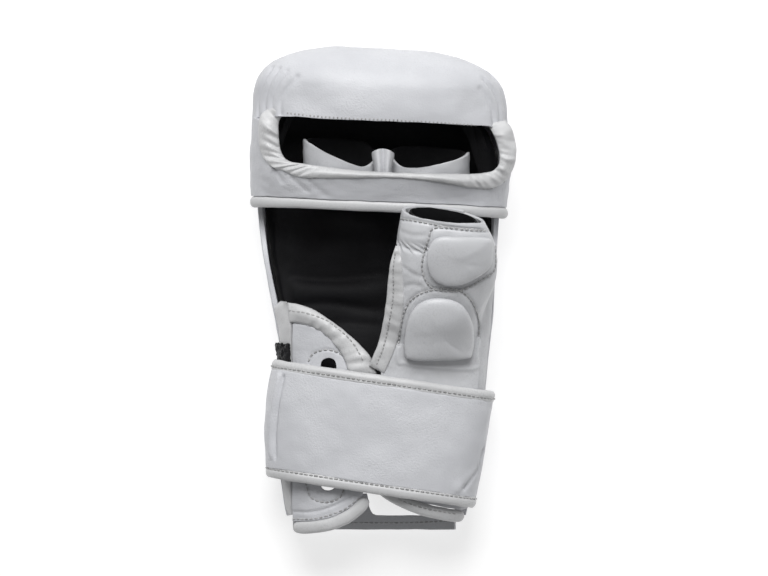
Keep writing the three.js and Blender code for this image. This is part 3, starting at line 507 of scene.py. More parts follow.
# Pebbled hide: how its cells are bent and come and go, their fine grain, and the painted shade in the
# valleys between them
BEND_SCALE = 0.45
BEND_REACH = (0.0011, 0.0013, 0.0009)
PEBBLE_STRENGTH = (0.38, 0.64, 0.25, 1.0)
PEBBLE_HEIGHT = 1.5
GRAIN_SCALE = 2.6
GRAIN_HEIGHT = 0.35
VALLEY_SHADE_RANGE = (0.42, 0.85)

# Cloth: the scales, heights and wandering of its ribs, weft and tufts
WEAVE = {"DIAGONAL": 1.0, "X": 1.3}
WEFT_HEIGHT = 0.35
WANDER = 0.4
CLOTH_PATCHES = 55.0
WEAVE_TONE = 0.25
TUFT_SCALE = 0.25
TUFT_HEIGHT = 1.4
THREAD_PATCHES = 240.0


def pebbled_hide() -> Tree:
    """Grain of a coated hide: pebbles that come and go, painted shade in the valleys between them, and slow
    changes of tone.
    """
    inputs = {"Vector": None, "Pebbles": 800.0, "Patches": 34.0}
    group = new_group("pebbled_hide", inputs, ["Height", "ValleyShade", "Tone"])
    start, end = group.nodes
    place, pebbles, patches = start.outputs[0], start.outputs[1], start.outputs[2]
    bend = noise_at(group, place, maths(group, "MULTIPLY", pebbles, BEND_SCALE), 2.0)
    bent = value_node(group, "ShaderNodeVectorMath", bend, BEND_REACH, operation="MULTIPLY").outputs[0]
    wandering = value_node(group, "ShaderNodeVectorMath", place, bent, operation="ADD").outputs[0]
    cells = value_node(group, "ShaderNodeTexVoronoi", feature="SMOOTH_F1")
    group.links.new(wandering, cells.inputs["Vector"])
    group.links.new(pebbles, cells.inputs["Scale"])
    slow = noise_at(group, place, patches, 4.0)
    fine = noise_at(group, place, maths(group, "MULTIPLY", pebbles, GRAIN_SCALE), 3.0)
    strength = ramp(group, slow, *PEBBLE_STRENGTH)
    dome = maths(group, "SUBTRACT", 1.0, cells.outputs["Distance"])
    pebble = maths(group, "MULTIPLY", maths(group, "MULTIPLY", dome, strength), PEBBLE_HEIGHT)
    height = maths(group, "ADD", pebble, maths(group, "MULTIPLY", fine, GRAIN_HEIGHT))
    # Painted shade: the valleys between the pebbles get a darker colour, as much as the pebbles stand out
    valley_shade_mask = ramp(group, cells.outputs["Distance"], *VALLEY_SHADE_RANGE)
    group.links.new(height, end.inputs["Height"])
    group.links.new(maths(group, "MULTIPLY", valley_shade_mask, strength), end.inputs["ValleyShade"])
    group.links.new(slow, end.inputs["Tone"])
    return group


def twill_weave() -> Tree:
    """Fine diagonal ribs of a twill, crossed by its weft."""
    group = new_group("twill_weave", {"Vector": None, "Ribs": 700.0}, ["Height", "Tone"])
    start, end = group.nodes
    place, ribs = start.outputs[0], start.outputs[1]
    bands = []
    for direction, factor in WEAVE.items():
        wave = value_node(group, "ShaderNodeTexWave", bands_direction=direction)
        group.links.new(place, wave.inputs["Vector"])
        group.links.new(maths(group, "MULTIPLY", ribs, factor), wave.inputs["Scale"])
        wave.inputs["Distortion"].default_value = WANDER
        bands.append(wave.outputs["Fac"])
    diagonal, across = bands
    weave = maths(group, "MULTIPLY_ADD", across, WEFT_HEIGHT, diagonal)
    group.links.new(weave, end.inputs["Height"])
    slow = noise_at(group, place, CLOTH_PATCHES, 3.0)
    group.links.new(maths(group, "MULTIPLY_ADD", weave, WEAVE_TONE, slow), end.inputs["Tone"])
    return group


def loop_pile() -> Tree:
    """The tangle of a brushed loop fastening."""
    group = new_group("loop_pile", {"Vector": None, "Loops": 1500.0}, ["Height", "Tone"])
    start, end = group.nodes
    place, loops = start.outputs[0], start.outputs[1]
    tangle = noise_at(group, place, loops, 5.0)
    tufts = noise_at(group, place, maths(group, "MULTIPLY", loops, TUFT_SCALE), 2.0)
    group.links.new(maths(group, "MULTIPLY_ADD", tufts, TUFT_HEIGHT, tangle), end.inputs["Height"])
    group.links.new(tangle, end.inputs["Tone"])
    return group


def twisted_ply() -> Tree:
    """The twist of a sewing thread."""
    group = new_group("twisted_ply", {"Vector": None, "Twists": 900.0}, ["Height", "Tone"])
    start, end = group.nodes
    wave = value_node(group, "ShaderNodeTexWave", bands_direction="DIAGONAL")
    group.links.new(start.outputs[0], wave.inputs["Vector"])
    group.links.new(start.outputs[1], wave.inputs["Scale"])
    group.links.new(wave.outputs["Fac"], end.inputs["Height"])
    group.links.new(noise_at(group, start.outputs[0], THREAD_PATCHES, 2.0), end.inputs["Tone"])
    return group


@dataclass(frozen=True)
class Finish:
    """A surface whose detail comes from one node group.

    The tone of the group runs the colour from shade to color, and its height the bump; where a valley colour
    is given, it is painted shade in the grain's valleys.
    """

    name: str
    slot: str
    group: Callable[[], Tree]
    scale: float
    color: Tint
    shade: Tint
    relief: float
    roughness: float
    tone_from: float = 0.35
    tone_to: float = 0.65
    coat: float = 0.0
    sheen: float = 0.0
    specular: float = 0.5
    # The darker colour of the shade painted into the grain's valleys, if any
    pore: Tint | None = None

    COAT_ROUGHNESS = 0.35
    SHEEN_ROUGHNESS = 0.4
    ROUGHER_IN_SHADE = 0.08

    def material(self) -> bpy.types.Material:
        """Build the material, or return it where it exists."""
        known = bpy.data.materials.get(self.name)
        if known:
            return known
        material = bpy.data.materials.new(self.name)
        material.use_nodes = True
        tree = material.node_tree
        shader = tree.nodes["Principled BSDF"]
        shader.inputs["Coat Weight"].default_value = self.coat
        shader.inputs["Coat Roughness"].default_value = self.COAT_ROUGHNESS
        shader.inputs["Sheen Weight"].default_value = self.sheen
        shader.inputs["Sheen Roughness"].default_value = self.SHEEN_ROUGHNESS
        shader.inputs["Specular IOR Level"].default_value = self.specular
        place = tree.nodes.new("ShaderNodeTexCoord").outputs["Object"]
        known_group = bpy.data.node_groups.get(self.group.__name__)
        detail = value_node(tree, "ShaderNodeGroup", node_tree=known_group or self.group())
        tree.links.new(place, detail.inputs[0])
        detail.inputs[1].default_value = self.scale
        tone = ramp(tree, detail.outputs["Tone"], self.tone_from, self.tone_to)
        color = self.mixed(tree, tone, self.shade, self.color)
        # Paint the shade of the grain's valleys into the colour
        if self.pore:
            color = self.mixed(tree, detail.outputs["ValleyShade"], color, self.pore)
        tree.links.new(color, shader.inputs["Base Color"])
        rough = ramp(tree, tone, 0.0, 1.0, self.roughness + self.ROUGHER_IN_SHADE, self.roughness)
        tree.links.new(rough, shader.inputs["Roughness"])
        bump = tree.nodes.new("ShaderNodeBump")
        bump.inputs["Strength"].default_value = 1.0
        bump.inputs["Distance"].default_value = self.relief
        tree.links.new(detail.outputs["Height"], bump.inputs["Height"])
        tree.links.new(bump.outputs["Normal"], shader.inputs["Normal"])
        return material

    @staticmethod
    def mixed(tree: Tree, share: object, low: object, high: object) -> Socket:
        """Mix two colours.

        Args:
            tree: the material's nodes.
            share: the socket of the second colour's share.
            low: the first colour or its socket.
            high: the second colour.

        Returns:
            The socket of the mixed colour.
        """
        node = tree.nodes.new("ShaderNodeMix")
        node.data_type = "RGBA"
        tree.links.new(share, node.inputs["Factor"])
        for label, source in (("A", low), ("B", high)):
            socket = next(s for s in node.inputs if s.name == label and s.type == "RGBA")
            if isinstance(source, Socket):
                tree.links.new(source, socket)
            else:
                socket.default_value = (*source, 1.0)
        return next(s for s in node.outputs if s.type == "RGBA")


# The last colour of each hide below is the shade painted into the valleys of its grain
HIDE = Finish(
    "white_hide", "leather", pebbled_hide,
    scale=1350.0, color=(0.6, 0.608, 0.635), shade=(0.54, 0.548, 0.575),
    relief=0.13 * MM, roughness=0.46, coat=0.08, pore=(0.545, 0.552, 0.577),
)
SMOOTH_HIDE = Finish(
    "smooth_hide", "leather", pebbled_hide,
    scale=1300.0, color=(0.59, 0.597, 0.617), shade=(0.54, 0.547, 0.565),
    relief=0.05 * MM, roughness=0.42, coat=0.1, pore=(0.5, 0.507, 0.525),
)
TAPE = Finish(
    "binding_tape", "binding", pebbled_hide,
    scale=1300.0, color=(0.6, 0.603, 0.61), shade=(0.54, 0.543, 0.55),
    relief=0.04 * MM, roughness=0.44, coat=0.08, pore=(0.49, 0.493, 0.5),
)
TWILL = Finish(
    "black_twill", "lining", twill_weave,
    scale=650.0, color=(0.006, 0.006, 0.0075), shade=(0.0025, 0.0025, 0.003),
    tone_from=0.3, tone_to=0.9, relief=0.1 * MM, roughness=0.6, sheen=0.04, specular=0.2,
)
PILE = Finish(
    "loop_fastening", "fastening", loop_pile,
    scale=1500.0, color=(0.018, 0.018, 0.02), shade=(0.004, 0.004, 0.005),
    relief=0.4 * MM, roughness=0.9, sheen=0.2, specular=0.2,
)
# The thread is white, but it is coloured grey here: painted shade of its needle holes and of the grooves
# that it sinks into
THREAD = Finish(
    "grey_thread_painted_shade", "binding", twisted_ply,
    scale=900.0, color=(0.5, 0.5, 0.5), shade=(0.3, 0.3, 0.3),
    tone_from=0.3, tone_to=0.7, relief=0.05 * MM, roughness=0.6, specular=0.3,
)


def wear(piece: Piece, finish: Finish, *nodes: str) -> Piece:
    """Give a finished piece its material and place on the glove.

    Args:
        piece: the piece.
        finish: its finish.
        nodes: the nodes of the frame that it stands for.

    Returns:
        The piece.
    """
    points = points_of(piece)
    points[:, 2] = np.maximum(points[:, 2], 0.0)
    move_points(piece, points)
    piece.data.materials.append(finish.material())
    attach(piece, BODY)
    if nodes:
        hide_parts(*nodes)
    log.info("%s: %d faces", piece.name, len(piece.data.polygons))
    return piece


# Stitching


@dataclass(frozen=True)
class Stitch:
    """Sizes of one stitch and of the row that it repeats in."""

    length: float = 2.2 * MM
    width: float = 0.85 * MM
    height: float = 0.65 * MM
    pitch: float = 2.7 * MM
    across: bool = False


class Needlework:
    """Rows of stitches that make one piece."""

    BLUNTNESS = 0.8
    TUCK = 0.9
    PROUD = 0.1

    def __init__(self, name: str) -> None:
        """Start an empty piece.

        Args:
            name: the piece's name.
        """
        self.name = name
        self.corners: list[Array] = []
        self.faces: list[tuple[int, ...]] = []
        self.shape, self.shape_faces = self.one_stitch()

    @staticmethod
    def one_stitch() -> tuple[Array, list[tuple[int, ...]]]:
        """Model one stitch of unit size: a rounded dash with its ends tucked down."""
        bpy.ops.object.select_all(action="DESELECT")
        bpy.ops.mesh.primitive_uv_sphere_add(segments=8, ring_count=6, radius=0.5)
        dash = bpy.context.object
        points = points_of(dash)[:, [2, 0, 1]]
        blunted = (2 * np.abs(points[:, 0])) ** Needlework.BLUNTNESS
        points[:, 0] = 0.5 * np.sign(points[:, 0]) * blunted
        points[:, 2] -= Needlework.TUCK * points[:, 0] ** 2
        faces = [tuple(face.vertices) for face in dash.data.polygons]
        bpy.data.objects.remove(dash, do_unlink=True)
        return points, faces

    def row(self, seam: Seam, stitch: Stitch = Stitch()) -> "Needlework":
        """Sew a row of stitches along a seam.

        Args:
            seam: the line that the row follows.
            stitch: sizes of the stitches.

        Returns:
            This piece, for the next row.
        """
        for run in seam.runs():
            spaced = run.spaced(stitch.pitch)
            along = np.gradient(spaced.points, axis=0)
            along /= np.linalg.norm(along, axis=1)[:, None]
            for place, way, normal in zip(spaced.points, along, spaced.normals):
                side = np.cross(normal, way)
                side /= np.linalg.norm(side)
                length, width = (side, way) if stitch.across else (way, side)
                base = sum(len(part) for part in self.corners)
                spread = np.stack([length * stitch.length, width * stitch.width, normal * stitch.height])
                self.corners.append(place + self.PROUD * stitch.height * normal + self.shape @ spread)
                self.faces += [tuple(base + k for k in face) for face in self.shape_faces]
        return self

    def finished(self) -> Piece:
        """Make the piece from all its rows."""
        mesh = bpy.data.meshes.new(self.name)
        mesh.from_pydata(np.vstack(self.corners).tolist(), [], self.faces)
        piece = bpy.data.objects.new(self.name, mesh)
        bpy.context.scene.collection.objects.link(piece)
        open_mesh(piece)
        bpy.ops.mesh.normals_make_consistent(inside=False)
        close_mesh()
        return wear(piece, THREAD)


# Sub-assemblies


def sheet_piece(node: str, name: str, levels: int, edge: float = 0.4 * MM, angle: float = 48.0) -> Piece:
    """Make a leather sheet of the glove with rounded cut edges.

    Args:
        node: the node that it stands for.
        name: the piece's name.
        levels: how finely it is divided.
        edge: rounding of its cut edges.
        angle: edges sharper than this, in degrees, are rounded.

    Returns:
        The piece.
    """
    piece = skin_of(node, name)
    round_edges(piece, edge, angle)
    refine(piece, levels)
    return piece


def tape_piece(node: str, name: str, levels: int = 2, fatten: float = 0.3 * MM) -> Piece:
    """Make a rounded binding of the glove."""
    piece = skin_of(node, name, fatten)
    refine(piece, levels)
    return piece


@dataclass(frozen=True)
class SewnTape:
    """A binding between two lines of the photograph, folded over an edge and drawn in by its stitches."""

    name: str
    inner: Sequence[Spot]
    outer: Sequence[Spot]
    rise: float
    lowest: float
    gather: float
    gather_pitch: float
    seed: int
    middle: float = 0.0
    gathered_beyond: float = 0.0

    STATION = 0.7 * MM
    RING = 20
    SOUNDINGS = (0.15, 0.5, 0.85)
    EDGE_DROP = 1.0 * MM
    WINDOW = 11
    GATHER_FADE = 8 * MM
    RIPPLE_ACROSS = 0.8
    END_TAPER = 4 * MM
    THINNEST = 0.02
    CROWN = 0.75
    UNDERSIDE = 0.5

    def over(self, node: str, support: Piece) -> Piece:
        """Make the tape where a node of the frame is.

        Args:
            node: the node that it stands for.
            support: the piece that it is sewn to.

        Returns:
            The tape.
        """
        rest = skin_of(node, f"{self.name}_rest")
        tape = self.build([rest, support])
        bpy.data.objects.remove(rest, do_unlink=True)
        return tape

    def heights(self, supports: Sequence[Piece], line: Array) -> Array:
        """Find how high the supports stand along a line seen from above."""
        tree = tree_over(supports)
        hits = [tree.ray_cast(Vector((x, y, CEILING)), Vector(DOWN))[0] for x, y in line]
        return np.array([hit.z if hit is not None and hit.z > self.lowest else math.nan for hit in hits])

    def bed(self, supports: Sequence[Piece], inner: Array, outer: Array) -> Array:
        """Find the heights under the tape at three places across it, smoothed along it.

        Args:
            supports: the pieces that it lies on.
            inner: stations of its inner line.
            outer: stations of its outer line.

        Returns:
            A row of three heights for each station.
        """
        lines = [inner * (1 - share) + outer * share for share in self.SOUNDINGS]
        levels = np.column_stack([self.heights(supports, line) for line in lines])
        best = np.nanmax(np.where(np.isnan(levels), -1.0, levels), axis=1)
        levels = np.where(np.isnan(levels), best[:, None] - self.EDGE_DROP, levels)
        known = best > 0
        stations = np.arange(len(best))
        window = np.hanning(self.WINDOW) / np.hanning(self.WINDOW).sum()
        for k in range(len(self.SOUNDINGS)):
            filled = np.interp(stations, stations[known], levels[known, k])
            levels[:, k] = np.convolve(np.pad(filled, self.WINDOW // 2, mode="edge"), window, mode="valid")
        return levels

    def build(self, supports: Sequence[Piece]) -> Piece:
        """Make the tape.

        Args:
            supports: the pieces that it lies on.

        Returns:
            The tape.
        """
        edges = [smooth_line([at(*corner) for corner in corners]) for corners in (self.inner, self.outer)]
        count = int(length_of(edges[1]) / self.STATION)
        inner, outer = (evenly(edge, length_of(edge) / count) for edge in edges)
        levels = self.bed(supports, inner, outer)
        bpy.ops.object.select_all(action="DESELECT")
        bpy.ops.mesh.primitive_grid_add(x_subdivisions=count, y_subdivisions=self.RING, size=1.0)
        tape = bpy.context.object
        tape.name = self.name
        grid = points_of(tape)
        station = np.clip(np.rint((grid[:, 0] + 0.5) * count).astype(int), 0, count)
        turn = 2 * math.pi * (grid[:, 1] + 0.5)
        share = 0.5 - 0.5 * np.cos(turn)
        near, mid, far = levels[station].T
        base = np.where(share < 0.5, near + (mid - near) * 2 * share, mid + (far - mid) * (2 * share - 1))
        flat = inner[station] * (1 - share[:, None]) + outer[station] * share[:, None]
        lift = self.lift(station * self.STATION, share, np.sin(turn), flat[:, 0], count * self.STATION)
        move_points(tape, np.column_stack([flat, base + lift]))
        open_mesh(tape)
        bpy.ops.mesh.remove_doubles(threshold=0.02 * MM)
        bpy.ops.mesh.fill_holes(sides=0)
        bpy.ops.mesh.normals_make_consistent(inside=False)
        close_mesh()
        return tape

    def lift(self, run: Array, share: Array, crown: Array, x: Array, length: float) -> Array:
        """Round the tape's section, gather it and let it sink at its ends.

        Args:
            run: how far along the tape each point lies.
            share: how far across it.
            crown: the height of a round section there.
            x: its X.
            length: the tape's length.

        Returns:
            Each point's height over the bed.
        """
        fully = self.gathered_beyond + self.GATHER_FADE
        drawn = smoothstep(np.abs(x - self.middle), self.gathered_beyond, fully)
        spots = zip(run / self.gather_pitch, self.RIPPLE_ACROSS * share)
        ripple = np.array([noise.noise(Vector((along, across, self.seed))) for along, across in spots])
        top = np.abs(crown) ** self.CROWN * (self.rise + self.gather * drawn * ripple * 2)
        ends = np.sqrt(np.clip(np.minimum(run, length - run) / self.END_TAPER, self.THINNEST, 1))
        return ends * np.where(crown > 0, top, self.UNDERSIDE * self.rise * crown)


@dataclass
class FingerHead:
    """The padded hood over the fingers, the band behind them and what shows in the opening."""

    swelling: float = 2.0 * MM
    hood_edge: float = 1.6 * MM
    hood_edge_angle: float = 60.0
    heart: tuple[float, float] = (80 * MM, 40 * MM)
    brow_height: float = 50 * MM
    palm_rim: float = 88 * MM
    back_rim: float = 46 * MM
    tip_settling: float = 2.2 * MM
    side_settling: float = 1.5 * MM
    band_lean: float = 2.8 * MM
    band_rise: float = 1.4 * MM
    rim_drop: float = 4.0 * MM
    far_wall_room: float = 0.9 * MM
    tab_lift: float = 2.6 * MM
    tab_half: float = 6.0 * MM
    tab_waist: float = 0.28
    tab_flare: float = 0.25
    tab_corners: float = 2.2 * MM
    tab_lobes: float = 0.9 * MM
    tab_sink: float = 0.5 * MM

    HOOD_WAVES = (Waves(26 * MM, 0.5 * MM, 1), Waves(7 * MM, 0.16 * MM, 2))
    LINING_WAVES = Waves(16 * MM, 0.5 * MM, 3)
    BAND_WAVES = (Waves(15 * MM, 0.55 * MM, 4), Waves(4 * MM, 0.14 * MM, 5))
    BINDING_WAVES = Waves(5 * MM, 0.2 * MM, 6)
    PIPING_WAVES = Waves(9 * MM, 0.2 * MM, 7)
    LOOP_WAVES = {"left": Waves(10 * MM, 0.5 * MM, 11), "right": Waves(10 * MM, 0.5 * MM, 12)}
    DIMPLE = Crease(11 * MM, 2.2 * MM, reach=9 * MM)
    GATHER = Crease(1.5 * MM, 1.0 * MM)
    SEAM_GROOVE = Crease(0.8 * MM, 0.5 * MM)
    BAND_CREASE = Crease(1.6 * MM, 0.8 * MM)
    RIM_STITCH = Stitch(1.3 * MM, 0.9 * MM, 0.5 * MM, 2.1 * MM, across=True)
    BAND_STITCH = Stitch(1.7 * MM, 0.5 * MM, 0.4 * MM, 2.3 * MM)
    BAND_STITCH_ASIDE = -0.7 * MM

    TIP = (95 * MM, 128 * MM)
    SIDES = (56 * MM, 62 * MM)
    SIDE_END = (90 * MM, 95 * MM)
    SIDE_RISE = (30 * MM, 50 * MM)
    FACING_OUT = (5 * MM, 25 * MM)
    OFF_FLOOR = (1 * MM, 9 * MM)
    OFF_RIM = (0.0, 14 * MM)
    PALM_SIDE = (50 * MM, 60 * MM)
    BAND_FOOT = (44 * MM, 60 * MM)
    BAND_TOP = (84 * MM, 89 * MM)
    FAR_WALL = (0.35, 0.75)
    RIM_FADE = (14 * MM, 2 * MM)

    DIMPLES = (((304, 102), (305, 102)), ((476, 108), (477, 108)))
    GATHERS = (
        ((259, 126), (258, 104), (263, 84), (272, 68)),
        ((266, 120), (265, 102), (270, 84), (279, 70)),
        ((273, 117), (272, 102), (277, 86), (287, 72)),
        ((281, 115), (281, 103), (287, 90), (297, 78)),
        ((506, 126), (505, 106), (500, 88), (490, 74)),
        ((500, 128), (499, 108), (494, 92), (484, 80)),
        ((494, 127), (492, 112), (487, 100), (480, 90)),
    )
    HOOD_EDGE = ((288, 114), (320, 117.5), (350, 119.5), (379, 120.5), (430, 123), (460, 125), (486, 127))
    BAND_SEAM = (
        (283, 163), (290, 171), (307, 177), (350, 177), (393, 177), (430, 180), (460, 184), (488, 188),
        (504, 181),
    )
    BAND_FOLDS = (
        ((288, 171), (296, 182), (307, 192)),
        ((308, 179), (316, 188), (324, 196)),
        ((272, 150), (274, 166), (282, 182)),
    )
    OPENING_TAPE = SewnTape(
        "opening_binding",
        ((291, 113.5), (284, 116), (279.5, 123), (280, 145), (284, 157), (291, 162), (303, 164), (340, 169),
         (383, 172.5), (440, 174), (482, 173.5), (496, 168), (499, 157), (496, 143), (490, 130), (486, 124)),
        ((287, 106.5), (271, 108.5), (260, 119), (260, 148), (269, 165), (284, 171.5),
         (303, 178), (345, 179), (393, 178.5), (435, 182.5), (478, 189), (499, 186),
         (512, 171), (516, 152), (512, 131), (505, 121)),
        rise=2.3 * MM,
        lowest=50 * MM,
        gather=0.8 * MM,
        gather_pitch=2.9 * MM,
        seed=6,
        middle=3 * MM,
        gathered_beyond=38 * MM,
    )

    def build(self) -> None:
        """Build and dress every piece of the head."""
        self.hood()
        self.band()
        for side in ("left", "right"):
            self.loop(side)
        self.tab()

    def hood(self) -> None:
        """The hood: stuffed, gathered at its lower corners, its rim overcast with thread."""
        hood = sheet_piece("knuckle_hood", "hood_leather", 1, self.hood_edge, self.hood_edge_angle)
        swell(hood, self.swelling, self.hood_freedom)
        refine(hood, 2)
        points = points_of(hood)
        points[:, 1] -= self.tip_settling * smoothstep(points[:, 1], *self.TIP)
        side = smoothstep(np.abs(points[:, 0]), *self.SIDES)
        side *= 1 - smoothstep(points[:, 1], *self.SIDE_END)
        points[:, 1] -= self.side_settling * side * smoothstep(points[:, 2], *self.SIDE_RISE)
        move_points(hood, points)
        crumple(hood, *self.HOOD_WAVES)
        for dimple in self.DIMPLES:
            press(hood, seam_on(hood, dimple), self.DIMPLE)
        for line in self.GATHERS:
            press(hood, seam_on(hood, line), self.GATHER)
        wear(hood, HIDE, "knuckle_hood")
        Needlework("hood_rim_stitches").row(seam_on(hood, self.HOOD_EDGE), self.RIM_STITCH).finished()
        lining = sheet_piece("head_lining", "head_lining_cloth", 2)
        crumple(lining, self.LINING_WAVES)
        wear(lining, TWILL, "head_lining")

    def hood_freedom(self, points: Array, normals: Array) -> Array:
        """Let the outer face of the hood swell, and hold its rim and its inside.

        Args:
            points: positions of the hood's points.
            normals: their normals.

        Returns:
            The share of the travel that each point has.
        """
        count = len(points)
        deepest, level = self.heart
        middle = np.column_stack([np.zeros(count), np.minimum(points[:, 1], deepest), np.full(count, level)])
        outward = smoothstep(np.einsum("ij,ij->i", normals, points - middle), *self.FACING_OUT)
        rim = np.where(points[:, 2] > self.brow_height, self.palm_rim, self.back_rim)
        lifted = smoothstep(points[:, 2], *self.OFF_FLOOR)
        return outward * lifted * smoothstep(points[:, 1] - rim, *self.OFF_RIM)

    def band(self) -> None:
        """The band across the fingers, its gathered binding and its piping."""
        band = sheet_piece("finger_band", "band_leather", 3)
        points = points_of(band)
        palm_side = smoothstep(points[:, 2], *self.PALM_SIDE)
        points[:, 2] += self.band_lean * palm_side * smoothstep(points[:, 1], *self.BAND_FOOT)
        points[:, 1] += self.band_rise * (1 - palm_side) * smoothstep(points[:, 1], *self.BAND_TOP)
        move_points(band, points)
        crumple(band, *self.BAND_WAVES)
        press(band, seam_on(band, self.BAND_SEAM), self.SEAM_GROOVE)
        for fold in self.BAND_FOLDS:
            press(band, seam_on(band, fold), self.BAND_CREASE)
        wear(band, HIDE, "finger_band")
        binding = self.OPENING_TAPE.over("finger_opening_binding", band)
        crumple(binding, self.BINDING_WAVES)
        wear(binding, TAPE, "finger_opening_binding")
        piping = tape_piece("finger_band_piping", "band_piping")
        crumple(piping, self.PIPING_WAVES)
        wear(piping, TAPE, "finger_band_piping")
        seam = seam_on(band, self.BAND_SEAM).shifted(self.BAND_STITCH_ASIDE)
        Needlework("band_stitches").row(seam, self.BAND_STITCH).finished()

    def loop(self, side: str) -> None:
        """Make a finger loop and its lining, which stands proud of the rim of the far wall.

        Args:
            side: left or right.
        """
        loop = sheet_piece(f"finger_loop_{side}", f"loop_leather_{side}", 2)
        crumple(loop, self.LOOP_WAVES[side])
        points = points_of(loop)
        low, high = points.min(0), points.max(0)
        far = 1 - smoothstep((points[:, 2] - low[2]) / (high[2] - low[2]), *self.FAR_WALL)
        rim = smoothstep(points[:, 1], *(high[1] - depth for depth in self.RIM_FADE))
        points[:, 1] -= self.rim_drop * far * rim
        points[:, 2] -= self.far_wall_room * far
        move_points(loop, points)
        wear(loop, SMOOTH_HIDE, f"finger_loop_{side}")
        lining = sheet_piece(f"finger_loop_lining_{side}", f"loop_cloth_{side}", 2, 0.25 * MM)
        crumple(lining, self.LOOP_WAVES[side])
        wear(lining, TWILL, f"finger_loop_lining_{side}")

    def tab(self) -> None:
        """The tab that is pinched between the loops: two lobes, a waist and a flared foot."""
        tab = sheet_piece("loop_post", "loop_tab", 3)
        points = points_of(tab)
        low, high = points.min(0), points.max(0)
        middle = (low[0] + high[0]) / 2
        across = (points[:, 0] - middle) / self.tab_half
        up = (points[:, 1] - low[1]) / (high[1] - low[1])
        width = 1 - self.tab_waist * np.sin(math.pi * up) ** 2 + self.tab_flare * (1 - up) ** 3
        points[:, 0] = middle + self.tab_half * across * width
        points[:, 1] -= self.tab_corners * across**2 * up
        lobes = self.tab_lobes * np.abs(np.sin(math.pi * across))
        points[:, 2] += self.tab_lift * (1 - up**2) + lobes - self.tab_sink
        move_points(tab, points)
        wear(tab, SMOOTH_HIDE, "loop_post")


@dataclass
class HandBack:
    """The padded back of the hand, the palm's lining and the hem over the wrist."""

    swelling: float = 1.6 * MM
    back_edge: float = 0.5 * MM

    BACK_WAVES = Waves(20 * MM, 0.45 * MM, 21)
    LINING_WAVES = Waves(17 * MM, 0.8 * MM, 22, (0.5, 1.2, 1))
    HEM_WAVES = Waves(9 * MM, 0.25 * MM, 23)
    LINING_FOLD = Crease(2.0 * MM, 1.6 * MM)
    LINING_ROLL = Crease(5.0 * MM, 1.6 * MM, Side.RAISED)
    OFF_FLOOR = (1 * MM, 7 * MM)
    TURNED_UP = (14 * MM, 22 * MM)
    FACING_DOWN = (0.0, 0.5)

    FOLDS = (
        ((292, 276), (325, 279), (360, 277), (386, 272)),
        ((296, 306), (325, 303), (355, 307), (378, 312)),
        ((322, 326), (345, 323), (372, 325)),
    )
    ROLL = ((296, 291), (330, 293), (360, 293), (384, 290))
    HEM_SEAM = ((331, 524), (365, 524), (410, 524), (450, 522))

    def build(self) -> None:
        """Build and dress the back, the lining and the hem."""
        back = sheet_piece("back_panel", "back_leather", 1, self.back_edge)
        swell(back, self.swelling, self.back_freedom)
        refine(back, 1)
        crumple(back, self.BACK_WAVES)
        wear(back, HIDE, "back_panel")
        lining = sheet_piece("palm_lining", "palm_cloth", 2, 0.3 * MM)
        crumple(lining, self.LINING_WAVES)
        for fold in self.FOLDS:
            press(lining, seam_on(lining, fold), self.LINING_FOLD)
        press(lining, seam_on(lining, self.ROLL), self.LINING_ROLL)
        wear(lining, TWILL, "palm_lining")
        hem = sheet_piece("cuff_hem", "hem_leather", 2)
        crumple(hem, self.HEM_WAVES)
        wear(hem, SMOOTH_HIDE, "cuff_hem")
        Needlework("hem_stitches").row(seam_on(hem, self.HEM_SEAM)).finished()

    def back_freedom(self, points: Array, normals: Array) -> Array:
        """Let the padding swell under the hand and hold the turned-up sides."""
        lifted = smoothstep(points[:, 2], *self.OFF_FLOOR) * (1 - smoothstep(points[:, 2], *self.TURNED_UP))
        return lifted * smoothstep(-normals[:, 2], *self.FACING_DOWN)


